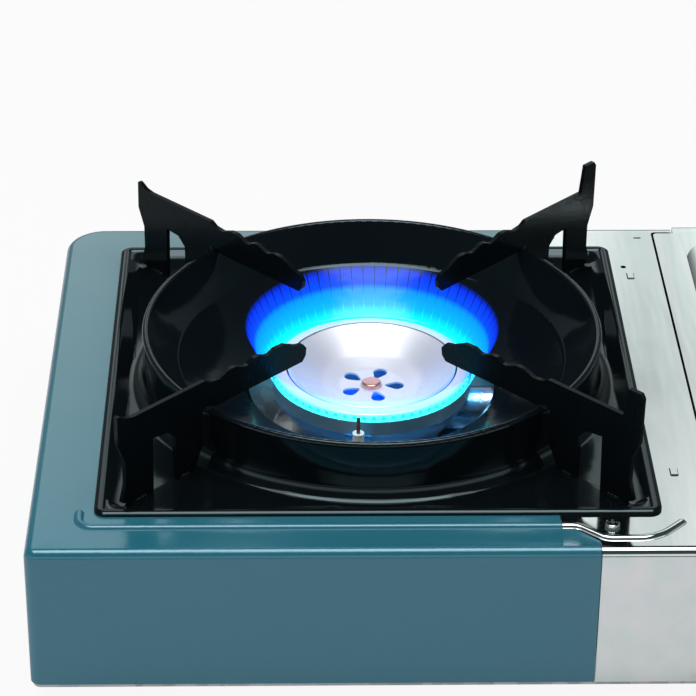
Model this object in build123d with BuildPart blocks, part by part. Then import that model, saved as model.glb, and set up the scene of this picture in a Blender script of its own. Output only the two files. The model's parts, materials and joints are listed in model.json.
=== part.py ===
"""Butane cassette stove: a sheet-metal body with a burner on the left and a canister bay on the right.

Millimetres. +X runs to the right, -Y to the front where the knob is, +Z up. The origin is on the table,
under the middle of the whole stove's bounding box.
"""

import os
from math import asin, cos, degrees, radians, sin, sqrt, tan

from build123d import *

os.makedirs("parts", exist_ok=True)

# ---------------------------------------------------------------- driving dimensions
# Gas canister, a standard size that the body is laid out round
CAN_R = 34.0
CAN_L = 185.0
CONTROL_ROOM = 69.0  # front wall to the canister
CAN_REAR_ROOM = 24.0  # canister to the back wall

# Body
BODY_D = CONTROL_ROOM + CAN_L + CAN_REAR_ROOM  # front wall to back wall
BODY_TOP = 72.0  # table to the flat top panel
FOOT_H = 6.0  # table to the underside of the base pan
SHEET = 0.8  # body sheet
EDGE_R = 4.0  # bend between the top panel and the walls
FRONT_CORNER_R = 4.5
BACK_CORNER_R = 18.0
SKIRT_LIFT = 2.0  # the walls end this far above the underside of the base pan
BASE_RIM_H = 14.0  # the base pan's upturned rim
SLIP = 0.3  # gap between sheet parts that slide into each other
RUN = 0.05  # radial gap of a running fit
SNUG = 0.02  # radial gap of a fixed fit

# Knob and controls
KNOB_R = 20.0
KNOB_PROUD = 18.0  # knob face in front of the front wall
DIAL_W = 58.0
DIAL_T = 0.8
SPINDLE_R = 2.5

# Drip tray, measured from its own middle
TRAY_LEFT_MARGIN = 26.5  # left wall to the tray
TRAY_BACK_MARGIN = 22.0  # back wall to the tray
TRAY_FRONT_MARGIN = 26.0  # front wall to the tray
TRAY_SIDE = BODY_D - TRAY_FRONT_MARGIN - TRAY_BACK_MARGIN
TRAY_HALF = TRAY_SIDE / 2
TRAY_CORNER_R = 5.0
TRAY_SHEET = 1.0
TRAY_LIP_W = 4.5
TRAY_SLOPE_W = 5.5
TRAY_DEPTH = 3.0  # rim to floor
TRAY_SEAT_W = 6.0  # how far the tray's lip lies over the top panel
TRAY_RIDGE_H = 0.9  # rounded ridge along the lip
RING_R = TRAY_HALF - 15.2  # outside of the wind ring's rolled rim
RING_H = 23.5  # rim above the tray's edge
RING_ROLL_R = 1.25
RING_WALL_R = RING_R - RING_ROLL_R / 2
RING_FLARE_R = 7.0  # cove at the ring's foot
BOWL_CREASE_R = RING_R - 14.8
BOWL_CREASE_H = 7.0
BOWL_HOLE_H = -5.0

# Pan supports: s is the distance from the tray's middle, h the height over the tray's edge
ARM_T = 2.0
ARM_REST_H = 37.0
ARM_UNDER_H = 22.7
ARM_OUT_S = TRAY_HALF * sqrt(2) - 13.6
ARM_LEG_W = 15.0
ARM_WINDOW_W = 13.0
ARM_WINDOW_H = 22.4
HORN_H = 13.0  # horns over the pan rest, on the canister side
HORN_W = 7.0

# Pressed beads in front of the tray and behind it, from the tray's middle
BEAD_W = 4.0
BEAD_H = 1.3
BEAD_CAP_R = (BEAD_W**2 / 4 + BEAD_H**2) / (2 * BEAD_H)
BEAD_LEFT = TRAY_HALF + 5.8
BEAD_RIGHT = TRAY_HALF + 6.9
BEAD_FRONT = TRAY_HALF + 7.4
BEAD_BACK = TRAY_HALF + 7.8
BEAD_HOOK_Y = TRAY_HALF + 1.0
BEAD_BACK_END = TRAY_HALF - 19.0
BEAD_DETOUR_X = TRAY_HALF - 35.0
BEAD_DETOUR_Y = TRAY_HALF + 16.5

# Seam between the two top shells
SEAM_X = TRAY_HALF - 41.6  # right of the tray's middle
SEAM_LIP_X = TRAY_HALF - 27.0
SEAM_GAP = 0.3

# Burner
DISH_R = 37.0
DISH_RIM_H = 3.0  # dish rim over the tray's edge
DISH_DEPTH = 11.0
PORT_RING_R = DISH_R + 6.5
BOWL_HOLE_R = PORT_RING_R + 10.8
ARM_TIP_S = DISH_R + 4.5
PORT_COUNT = 64
PORT_R = 0.9
MIX_R = 10.0
MIX_BORE_R = 7.5
MIX_REACH = TRAY_HALF - 23.0  # burner axis to the mixing tube's mouth
PETAL_COUNT = 5
PETAL_TURN = -4.0  # degrees, one petal's direction
PETAL_IN_S, PETAL_IN_R = 7.3, 1.2  # inner round of a petal
PETAL_OUT_S, PETAL_OUT_R = 11.3, 3.1

# Canister bay
TRAY_TO_LID = 22.4
LID_OPEN_W = 2 * CAN_R + 19.0
LID_OPEN_L = CAN_L + 37.0
LID_REAR_MARGIN = 5.7
LID_RIGHT_MARGIN = 4.1
# left wall to right wall
BODY_W = TRAY_LEFT_MARGIN + TRAY_SIDE + TRAY_TO_LID + LID_OPEN_W + LID_RIGHT_MARGIN
LID_GAP = 1.1
LID_CORNER_R = 2.0
LID_BORDER = 13.0
DOME_CLEAR = 2.0  # canister to the underside of the dome's top
LEDGE_W = 3.5
LEDGE_L = 30.0
HINGE_TAB_W = 65.0
KNUCKLE_R = 3.0
HINGE_PIN_R = 1.5
KNUCKLE_L = 15.0
CARRIAGE_TRAVEL = 8.0
LEVER_SWING = 35.0  # degrees between locked and released

# Fasteners
SCREW_R = 1.5
SCREW_HEAD_R = 3.0
SCREW_HEAD_T = 1.8
FOOT_R = 10.0
FOOT_INSET_X = 20.0
FOOT_INSET_Y = 38.0

# ---------------------------------------------------------------- places worked out from them
SHIFT_Y = (KNOB_PROUD - SCREW_HEAD_T) / 2  # centres the bounding box front to back
LEFT_X, RIGHT_X = -BODY_W / 2, BODY_W / 2
FRONT_Y, BACK_Y = SHIFT_Y - BODY_D / 2, SHIFT_Y + BODY_D / 2
BASE_TOP = FOOT_H + SHEET
PANEL_UNDER = BODY_TOP - SHEET
SKIRT_Z = FOOT_H + SKIRT_LIFT
RIM_IN = SHEET + SLIP + SHEET  # wall face to the inside of the base pan's rim

TX = LEFT_X + TRAY_LEFT_MARGIN + TRAY_SIDE / 2
TY = BACK_Y - TRAY_BACK_MARGIN - TRAY_SIDE / 2
EDGE_Z = BODY_TOP + TRAY_SHEET  # top of the tray's edge

LID_X0 = TX + TRAY_HALF + TRAY_TO_LID
LID_X1 = LID_X0 + LID_OPEN_W
LID_Y1 = BACK_Y - LID_REAR_MARGIN
LID_Y0 = LID_Y1 - LID_OPEN_L
CAN_X = (LID_X0 + LID_X1) / 2
HINGE_Y = BACK_Y - KNUCKLE_R / 2
HINGE_Z = BODY_TOP - KNUCKLE_R

CARRIAGE_T = 1.0
GUIDE_RIB_H = 1.2
CARRIAGE_Z = BASE_TOP + GUIDE_RIB_H + 0.1
CAN_CLEAR = 0.3
CAN_Z = CARRIAGE_Z + CARRIAGE_T + 1.1 + CAN_CLEAR + CAN_R
CAN_REAR_Y = BACK_Y - CAN_REAR_ROOM
SEAT_Y = CAN_REAR_Y - CAN_L
DOME_H = CAN_Z + CAN_R + DOME_CLEAR - BODY_TOP

# Lock lever: its pivot stands behind the front wall, its handle comes out through a slot
LEVER_X = CAN_X - 37.0
LEVER_T = 3.0
LEVER_WALL = 12.0  # pivot to the front wall
PIVOT_Y = FRONT_Y + LEVER_WALL
PIVOT_Z = 20.0
LEVER_REST = -5.0  # the handle's angle at rest, over the horizontal
SLOT_LOW = PIVOT_Z + LEVER_WALL * tan(radians(LEVER_REST)) - 5.0
SLOT_HIGH = PIVOT_Z + LEVER_WALL * tan(radians(LEVER_REST + LEVER_SWING)) + 5.0

# Brackets that stand on the base pan
BRACKET_T = 1.2
SHIELD_X = TX + TRAY_HALF + 8.2
SHIELD_FLANGE_W = 12.0
JET_X = TX + MIX_REACH + 4.5  # front face of the jet's bracket
BURNER_FOOT_X = MIX_REACH - 31.0
REG_Y = SEAT_Y - 11.3  # front face of the regulator's bracket
REG_FOOT_X = (CAN_X - 45.4, CAN_X + 33.6)
PIEZO_Y = FRONT_Y + 14.0
PIEZO_X = CAN_X + 29.0
BRACKET_SCREWS = [
    (TX - BURNER_FOOT_X, TY, BASE_TOP + BRACKET_T),
    (TX + BURNER_FOOT_X, TY, BASE_TOP + BRACKET_T),
    (JET_X - 8.0, TY, BASE_TOP + BRACKET_T),
    (SHIELD_X - SHIELD_FLANGE_W / 2, TY - 70.0, BASE_TOP + SHEET),
    (SHIELD_X - SHIELD_FLANGE_W / 2, TY + 90.0, BASE_TOP + SHEET),
    (REG_FOOT_X[0], REG_Y + 8.0, BASE_TOP + BRACKET_T),
    (REG_FOOT_X[1], REG_Y + 8.0, BASE_TOP + BRACKET_T),
    (LEVER_X - 10.0, PIVOT_Y, BASE_TOP + BRACKET_T),
    (PIEZO_X, PIEZO_Y + 8.0, BASE_TOP + BRACKET_T),
]

X_AXIS, Y_AXIS, Z_AXIS = (1, 0, 0), (0, 1, 0), (0, 0, 1)
TO_LEFT, TO_FRONT, TO_DOWN = (-1, 0, 0), (0, -1, 0), (0, 0, -1)


def slab(low, high, mode=Mode.ADD):
    """A box between two corners."""
    size = [b - a for a, b in zip(low, high)]
    with Locations(tuple(low)):
        Box(*size, align=(Align.MIN, Align.MIN, Align.MIN), mode=mode)


def rod(start, toward, radius, length, mode=Mode.ADD):
    """A round bar that starts at a point and runs along a direction."""
    with Locations(Plane(origin=start, z_dir=toward)):
        Cylinder(radius, length, align=(Align.CENTER, Align.CENTER, Align.MIN), mode=mode)


def screw(seat, toward, length, radius=SCREW_R):
    """A pan-head screw: its head stands on the seat, its shank runs toward the given direction."""
    away = tuple(-c for c in toward)
    rod(seat, toward, radius, length)
    rod(seat, away, 2 * radius, SCREW_HEAD_T)


def body_outline(inset):
    """The body's plan, set in from the walls: tight corners in front, wide ones behind."""
    with Locations((0, SHIFT_Y)):
        Rectangle(BODY_W - 2 * inset, BODY_D - 2 * inset)
    fillet(vertices().group_by(Axis.Y)[0], FRONT_CORNER_R - inset)
    fillet(vertices().group_by(Axis.Y)[-1], BACK_CORNER_R - inset)


# ---------------------------------------------------------------- base
BASE_INSET = SHEET + SLIP
FOOT_SPOTS = [
    (x, y)
    for x in (LEFT_X + FOOT_INSET_X, RIGHT_X - FOOT_INSET_X)
    for y in (FRONT_Y + FOOT_INSET_Y, BACK_Y - FOOT_INSET_Y)
]
SHELL_SCREW_Z = FOOT_H + 8.0
SHELL_SCREWS = [
    ((side * BODY_W / 2, y, SHELL_SCREW_Z), (-side, 0, 0))
    for side in (-1, 1)
    for y in (FRONT_Y + 46.0, BACK_Y - 52.0)
]
SHELL_SCREWS += [((i * (BODY_W / 2 - 65.0), BACK_Y, SHELL_SCREW_Z), TO_FRONT) for i in (-1, 0, 1)]
BASE_SLOTS = [(TX + 22.0 * i, TY + row) for i in range(-3, 4) for row in (-62.0, 62.0)]
GUIDE_PIN_Y = (SEAT_Y + 40.0, CAN_REAR_Y - 40.0)
GUIDE_PIN_R = 2.0

with BuildPart() as base_pan:
    with BuildSketch(Plane.XY.offset(FOOT_H)):
        body_outline(BASE_INSET)
    extrude(amount=BASE_RIM_H)
    with BuildSketch(Plane.XY.offset(BASE_TOP)):
        body_outline(RIM_IN)
    extrude(amount=BASE_RIM_H, mode=Mode.SUBTRACT)
    # Two low ribs carry the canister carriage
    for side in (-1, 1):
        rib_x = CAN_X + side * 14.0
        slab((rib_x - 3, SEAT_Y + 10, BASE_TOP), (rib_x + 3, CAN_REAR_Y, BASE_TOP + GUIDE_RIB_H))
    with BuildSketch(Plane.XY.offset(FOOT_H)):
        with Locations(*BASE_SLOTS):
            SlotOverall(26, 5, rotation=90)
    extrude(amount=SHEET, mode=Mode.SUBTRACT)
    with BuildSketch(Plane.XY.offset(FOOT_H)):
        with Locations(*FOOT_SPOTS):
            Circle(SCREW_R + SLIP)
        with Locations(*[(CAN_X, y) for y in GUIDE_PIN_Y]):
            Circle(GUIDE_PIN_R + SNUG)
    extrude(amount=SHEET + GUIDE_RIB_H, mode=Mode.SUBTRACT)
    for seat, toward in SHELL_SCREWS:
        rod(seat, toward, SCREW_R + SNUG, RIM_IN + 1, mode=Mode.SUBTRACT)
    for x, y, seat_z in BRACKET_SCREWS:
        rod((x, y, seat_z), TO_DOWN, SCREW_R + SNUG, 4, mode=Mode.SUBTRACT)
    slab(
        (LEVER_X - LEVER_T / 2 - 1, FRONT_Y, SLOT_LOW),
        (LEVER_X + LEVER_T / 2 + 1, FRONT_Y + 4, FOOT_H + BASE_RIM_H + 1),
        mode=Mode.SUBTRACT,
    )
base_pan.part.label = "base_pan"
export_step(base_pan.part, "parts/base_pan.step")

with BuildPart() as rubber_feet:
    with Locations(*[(x, y, 0) for x, y in FOOT_SPOTS]):
        Cone(FOOT_R - 1.2, FOOT_R, FOOT_H, align=(Align.CENTER, Align.CENTER, Align.MIN))
        Cylinder(
            SCREW_HEAD_R + 1,
            FOOT_H / 2,
            align=(Align.CENTER, Align.CENTER, Align.MIN),
            mode=Mode.SUBTRACT,
        )
        Cylinder(
            SCREW_R + SLIP,
            FOOT_H,
            align=(Align.CENTER, Align.CENTER, Align.MIN),
            mode=Mode.SUBTRACT,
        )
rubber_feet.part.label = "rubber_feet"
export_step(rubber_feet.part, "parts/rubber_feet.step")

with BuildPart() as foot_screws:
    for x, y in FOOT_SPOTS:
        screw((x, y, FOOT_H / 2), Z_AXIS, FOOT_H + 2)
foot_screws.part.label = "foot_screws"
export_step(foot_screws.part, "parts/foot_screws.step")

with BuildPart() as foot_nuts:
    for x, y in FOOT_SPOTS:
        with BuildSketch(Plane.XY.offset(BASE_TOP)):
            with Locations((x, y)):
                RegularPolygon(SCREW_HEAD_R, 6)
                Circle(SCREW_R + SNUG, mode=Mode.SUBTRACT)
        extrude(amount=2.2)
foot_nuts.part.label = "foot_nuts"
export_step(foot_nuts.part, "parts/foot_nuts.step")

# ---------------------------------------------------------------- top shells
FRONT_BEAD = [
    (TX - BEAD_LEFT, TY - BEAD_HOOK_Y + 4),
    (TX - BEAD_LEFT, TY - BEAD_FRONT),
    (TX + BEAD_DETOUR_X, TY - BEAD_FRONT),
    (TX + BEAD_DETOUR_X + 10.5, TY - BEAD_DETOUR_Y),
    (TX + BEAD_RIGHT - 11.0, TY - BEAD_DETOUR_Y),
    (TX + BEAD_RIGHT, TY - BEAD_DETOUR_Y + 11.0),
]
BACK_BEAD = [
    (TX - BEAD_LEFT, TY + BEAD_HOOK_Y),
    (TX - BEAD_LEFT, TY + BEAD_BACK),
    (TX + BEAD_BACK_END, TY + BEAD_BACK),
]
FRONT_BEAD_RADII = [6.0, 8.0, 7.0, 18.0]
BACK_BEAD_RADII = [4.5]
PANEL_SCREWS = [
    (TX + SEAM_LIP_X + 5.7, TY - TRAY_HALF - 7.9),
    (TX + SEAM_LIP_X, TY + TRAY_HALF + 13.6),
]
LOCK_TABS = [(SHIELD_X, TY + TRAY_HALF - 27.6), (SHIELD_X, TY - TRAY_HALF + 32.2)]
TAB_W, TAB_L = 2.8, 5.0
SLOT_SPOT = (SHIELD_X + 7.2, TY + TRAY_HALF + 10.5)
HOLE_SPOT = (SHIELD_X - 2.4, TY + TRAY_HALF - 18.7)
SPINDLE_HOLE_R = 5.0
OUT = 20.0  # overshoot of cutting shapes

with BuildPart() as skin:
    with BuildSketch(Plane.XY.offset(SKIRT_Z)):
        body_outline(0)
    extrude(amount=BODY_TOP - SKIRT_Z)
    fillet(skin.edges().group_by(Axis.Z)[-1], EDGE_R)
with BuildPart() as skin_core:
    with BuildSketch(Plane.XY.offset(SKIRT_Z)):
        body_outline(SHEET)
    extrude(amount=PANEL_UNDER - SKIRT_Z)
    fillet(skin_core.edges().group_by(Axis.Z)[-1], EDGE_R - SHEET)

with BuildPart() as bead:
    for corners, radii in ((FRONT_BEAD, FRONT_BEAD_RADII), (BACK_BEAD, BACK_BEAD_RADII)):
        with BuildLine(Plane.XY.offset(BODY_TOP)) as bead_line:
            FilletPolyline(*corners, radius=radii)
        heading = bead_line.wires()[0] % 0
        across = Vector(Z_AXIS).cross(heading)
        with BuildSketch(Plane(origin=(*corners[0], BODY_TOP), x_dir=across, z_dir=heading)) as profile:
            with BuildLine():
                ThreePointArc((-BEAD_W / 2, 0), (0, BEAD_H), (BEAD_W / 2, 0))
                Line((BEAD_W / 2, 0), (-BEAD_W / 2, 0))
            make_face()
        sweep(profile.sketch, path=bead_line.wires()[0])
        # Rounded ends
        for x, y in (corners[0], corners[-1]):
            with Locations((x, y, BODY_TOP + BEAD_H - BEAD_CAP_R)):
                Sphere(BEAD_CAP_R)
    slab((-BODY_W, -BODY_D, 0), (BODY_W, BODY_D, BODY_TOP), mode=Mode.SUBTRACT)

# The seam runs straight back from the bead, and in front it follows the bead's lower edge to the lip
SEAM_FRONT = [
    (TX + SEAM_X, TY - BEAD_FRONT - BEAD_W / 2 - SEAM_GAP),
    (TX + BEAD_DETOUR_X - 1.5, TY - BEAD_FRONT - BEAD_W / 2 - SEAM_GAP),
    (TX + SEAM_LIP_X, TY - BEAD_DETOUR_Y - BEAD_W / 2),
    (TX + SEAM_LIP_X, FRONT_Y - OUT),
]
SILVER_REGION = [
    (TX + SEAM_X, BACK_Y + OUT),
    *SEAM_FRONT,
    (RIGHT_X + OUT, FRONT_Y - OUT),
    (RIGHT_X + OUT, BACK_Y + OUT),
]
BLUE_REGION = [
    (TX + SEAM_X, BACK_Y + OUT),
    *SEAM_FRONT,
    (LEFT_X - OUT, FRONT_Y - OUT),
    (LEFT_X - OUT, BACK_Y + OUT),
]
TRAY_OPENING = TRAY_SIDE - 2 * TRAY_SEAT_W
REGION_H = BODY_TOP + OUT


def keep_region(points, trim):
    """Keeps what stands over a polygon of the plan, less half the seam gap."""
    with BuildSketch(Plane.XY.offset(-1)) as region:
        with BuildLine():
            Polyline(*points, close=True)
        make_face()
        offset(amount=-trim)
    extrude(region.sketch, amount=REGION_H, mode=Mode.INTERSECT)


def cut_tray_opening():
    """Opens the top panel under the drip tray."""
    with BuildSketch(Plane.XY.offset(BODY_TOP - 2 * SHEET)) as opening:
        with Locations((TX, TY)):
            RectangleRounded(TRAY_OPENING, TRAY_OPENING, TRAY_CORNER_R)
    extrude(opening.sketch, amount=4 * SHEET, mode=Mode.SUBTRACT)


with BuildPart() as blue_bead:
    add(bead.part)
    slab((TX + SEAM_X - SEAM_GAP / 2, -BODY_D, 0), (BODY_W, BODY_D, 2 * BODY_TOP), mode=Mode.SUBTRACT)
with BuildPart() as silver_bead:
    add(bead.part)
    slab((-BODY_W, -BODY_D, 0), (TX + SEAM_X + SEAM_GAP / 2, BODY_D, 2 * BODY_TOP), mode=Mode.SUBTRACT)

with BuildPart() as burner_side_shell:
    add(skin.part)
    add(skin_core.part, mode=Mode.SUBTRACT)
    keep_region(BLUE_REGION, SEAM_GAP / 2)
    cut_tray_opening()
    add(blue_bead.part)
    for seat, toward in SHELL_SCREWS:
        rod(seat, toward, SCREW_R + SLIP, 2 * SHEET, mode=Mode.SUBTRACT)
burner_side_shell.part.label = "burner_side_shell"
export_step(burner_side_shell.part, "parts/burner_side_shell.step")

SCOOP_R = 11.0
TAB_GAP = 0.35

with BuildPart() as canister_side_shell:
    add(skin.part)
    add(skin_core.part, mode=Mode.SUBTRACT)
    keep_region(SILVER_REGION, SEAM_GAP / 2)
    cut_tray_opening()
    add(silver_bead.part)
    # Lid opening, with a finger scoop in front of the lid
    with BuildSketch(Plane.XY.offset(BODY_TOP - 2 * SHEET)):
        with Locations((CAN_X, (LID_Y0 + LID_Y1) / 2)):
            RectangleRounded(LID_OPEN_W, LID_OPEN_L, LID_CORNER_R)
        with Locations((CAN_X, LID_Y0)):
            Circle(SCOOP_R)
    extrude(amount=4 * SHEET, mode=Mode.SUBTRACT)
    # Notch for the lid's hinge tab
    slab(
        (CAN_X - HINGE_TAB_W / 2 - LID_GAP, LID_Y1 - LID_CORNER_R, HINGE_Z - KNUCKLE_R - LID_GAP),
        (CAN_X + HINGE_TAB_W / 2 + LID_GAP, BACK_Y + 1, BODY_TOP + 1),
        mode=Mode.SUBTRACT,
    )
    # Ledges in front that the closed lid lies on
    for x_out, x_in in ((LID_X0 - 2, LID_X0 + LEDGE_W), (LID_X1 + 1, LID_X1 - LEDGE_W)):
        slab(
            (min(x_out, x_in), LID_Y0 + 20, PANEL_UNDER - SHEET),
            (max(x_out, x_in), LID_Y0 + 20 + LEDGE_L, PANEL_UNDER),
        )
    # Slots of the heat shield's lock tabs, a slot and a hole
    for x, y in LOCK_TABS:
        slab(
            (x - TAB_W / 2 - TAB_GAP, y - TAB_L / 2 - TAB_GAP, PANEL_UNDER - 1),
            (x + TAB_W / 2 + TAB_GAP, y + TAB_L / 2 + TAB_GAP, BODY_TOP + 1),
            mode=Mode.SUBTRACT,
        )
    with BuildSketch(Plane.XY.offset(PANEL_UNDER)):
        with Locations(SLOT_SPOT):
            SlotOverall(3.6, 1.2)
        with Locations(HOLE_SPOT):
            Circle(1.3)
        with Locations(*PANEL_SCREWS):
            Circle(SCREW_R + SLIP)
    extrude(amount=SHEET, mode=Mode.SUBTRACT)
    for seat, toward in SHELL_SCREWS:
        rod(seat, toward, SCREW_R + SLIP, 2 * SHEET, mode=Mode.SUBTRACT)
    # Holes of the front wall: knob spindle and lock lever
    rod((CAN_X, FRONT_Y - 1, CAN_Z), Y_AXIS, SPINDLE_HOLE_R, 4, mode=Mode.SUBTRACT)
    slab(
        (LEVER_X - LEVER_T / 2 - 1, FRONT_Y - 1, SLOT_LOW),
        (LEVER_X + LEVER_T / 2 + 1, FRONT_Y + 3, SLOT_HIGH),
        mode=Mode.SUBTRACT,
    )
canister_side_shell.part.label = "canister_side_shell"
export_step(canister_side_shell.part, "parts/canister_side_shell.step")

SEAM_PLATE_T = 1.0
SEAM_PLATE_W = 30.0
with BuildPart() as seam_plates:
    for (x, y), low_y, high_y in zip(
        PANEL_SCREWS,
        (FRONT_Y + EDGE_R + 1, TY + TRAY_OPENING / 2 + 1),
        (TY - TRAY_OPENING / 2 - 1, BACK_Y - EDGE_R - 1),
    ):
        slab(
            (x - SEAM_PLATE_W, low_y, PANEL_UNDER - SEAM_PLATE_T),
            (x + 5, high_y, PANEL_UNDER),
        )
        rod((x, y, PANEL_UNDER), TO_DOWN, SCREW_R + SNUG, 5, mode=Mode.SUBTRACT)
seam_plates.part.label = "seam_plates"
export_step(seam_plates.part, "parts/seam_plates.step")

RECESS_L, RECESS_W = 4.0, 1.1  # cross recess
with BuildPart() as panel_screws:
    for x, y in PANEL_SCREWS:
        screw((x, y, BODY_TOP), TO_DOWN, 8.0)
        for turn in (0, 90):
            with Locations(Location((x, y, BODY_TOP + SCREW_HEAD_T), (0, 0, turn))):
                Box(RECESS_L, RECESS_W, 2.0, mode=Mode.SUBTRACT)
    fillet(panel_screws.edges().filter_by(GeomType.CIRCLE).group_by(Axis.Z)[-1], 0.7)
panel_screws.part.label = "panel_screws"
export_step(panel_screws.part, "parts/panel_screws.step")

with BuildPart() as shell_screws:
    for seat, toward in SHELL_SCREWS:
        screw(seat, toward, 7.0)
shell_screws.part.label = "shell_screws"
export_step(shell_screws.part, "parts/shell_screws.step")

# ---------------------------------------------------------------- lid
with BuildPart() as lid_hinge_pin:
    rod(
        (CAN_X - HINGE_TAB_W / 2, HINGE_Y, HINGE_Z),
        X_AXIS,
        HINGE_PIN_R,
        HINGE_TAB_W,
    )
lid_hinge_pin.part.label = "lid_hinge_pin"
export_step(lid_hinge_pin.part, "parts/lid_hinge_pin.step")

LID_X_LOW, LID_X_HIGH = LID_X0 + LID_GAP, LID_X1 - LID_GAP
LID_Y_LOW, LID_Y_HIGH = LID_Y0 + LID_GAP, LID_Y1 - LID_GAP
DOME_HALF = (LID_X_HIGH - LID_X_LOW) / 2 - LID_BORDER
DOME_L = LID_Y_HIGH - LID_Y_LOW - 2 * LID_BORDER
DOME_R = (DOME_HALF**2 + DOME_H**2) / (2 * DOME_H)
DOME_AXIS_Z = BODY_TOP + DOME_H - DOME_R
LID_MID_Y = (LID_Y_LOW + LID_Y_HIGH) / 2
BRACKET_HALF = HINGE_TAB_W / 2 - KNUCKLE_L - LID_GAP


def dome_block(inset):
    """The canister dome as a solid: a round back over the canister with sloping ends."""
    with BuildPart(mode=Mode.PRIVATE) as block:
        with BuildSketch(Plane.XY.offset(PANEL_UNDER)):
            with Locations((CAN_X, LID_MID_Y)):
                RectangleRounded(2 * (DOME_HALF - inset), DOME_L - 2 * inset, 12.0)
        extrude(amount=2 * DOME_H, taper=28)
        with BuildSketch(Plane.XZ.offset(-BACK_Y)):
            with Locations((CAN_X, DOME_AXIS_Z)):
                Circle(DOME_R - inset)
        extrude(amount=BODY_D, mode=Mode.INTERSECT)
    return block.part


dome_outside = dome_block(0)
dome_inside = dome_block(SHEET)
with BuildPart() as lid:
    with BuildSketch(Plane.XY.offset(PANEL_UNDER)):
        with Locations((CAN_X, LID_MID_Y)):
            RectangleRounded(LID_X_HIGH - LID_X_LOW, LID_Y_HIGH - LID_Y_LOW, LID_CORNER_R)
        with Locations((CAN_X, (LID_Y_HIGH - LID_CORNER_R + HINGE_Y) / 2)):
            Rectangle(HINGE_TAB_W, HINGE_Y - LID_Y_HIGH + LID_CORNER_R)
    extrude(amount=SHEET)
    add(dome_outside)
    add(dome_inside, mode=Mode.SUBTRACT)
    # Knuckles at both ends of the tab, and room for the body's knuckle between them
    for side in (-1, 1):
        knuckle_x = CAN_X + side * (HINGE_TAB_W - KNUCKLE_L) / 2 - KNUCKLE_L / 2
        rod((knuckle_x, HINGE_Y, HINGE_Z), X_AXIS, KNUCKLE_R, KNUCKLE_L)
    slab(
        (CAN_X - BRACKET_HALF - LID_GAP, HINGE_Y - KNUCKLE_R - LID_GAP, HINGE_Z - KNUCKLE_R - 1),
        (CAN_X + BRACKET_HALF + LID_GAP, HINGE_Y + KNUCKLE_R + 1, BODY_TOP + 1),
        mode=Mode.SUBTRACT,
    )
    rod(
        (CAN_X - HINGE_TAB_W, HINGE_Y, HINGE_Z),
        X_AXIS,
        HINGE_PIN_R + RUN,
        2 * HINGE_TAB_W,
        mode=Mode.SUBTRACT,
    )
lid.part.label = "lid"
export_step(lid.part, "parts/lid.step")

HINGE_PLATE_T = 1.0
HINGE_PLATE_Y = BACK_Y - SHEET - HINGE_PLATE_T
with BuildPart() as lid_hinge_bracket:
    rod((CAN_X - BRACKET_HALF, HINGE_Y, HINGE_Z), X_AXIS, KNUCKLE_R, 2 * BRACKET_HALF)
    slab(
        (CAN_X - BRACKET_HALF, HINGE_PLATE_Y, HINGE_Z - 26),
        (CAN_X + BRACKET_HALF, HINGE_PLATE_Y + HINGE_PLATE_T, HINGE_Z - HINGE_PIN_R - 1),
    )
    rod(
        (CAN_X - HINGE_TAB_W, HINGE_Y, HINGE_Z),
        X_AXIS,
        HINGE_PIN_R + SNUG,
        2 * HINGE_TAB_W,
        mode=Mode.SUBTRACT,
    )
lid_hinge_bracket.part.label = "lid_hinge_bracket"
export_step(lid_hinge_bracket.part, "parts/lid_hinge_bracket.step")

# ---------------------------------------------------------------- drip tray with its wind ring and bowl
TRAY_UNDER = EDGE_Z - TRAY_SHEET
SLOPE_ANGLE = degrees(asin(TRAY_SLOPE_W / sqrt(TRAY_SLOPE_W**2 + TRAY_DEPTH**2)))
WALL_C = RING_WALL_R - TRAY_SHEET / 2  # middle of the ring's outer wall
FLOOR_C = -TRAY_DEPTH - TRAY_SHEET / 2  # middle of the floor's sheet
FLARE_C = RING_FLARE_R + TRAY_SHEET / 2
RIM_C = RING_R - RING_ROLL_R
ROLL_IN = RIM_C - 2 * (RING_ROLL_R - TRAY_SHEET / 2)

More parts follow.
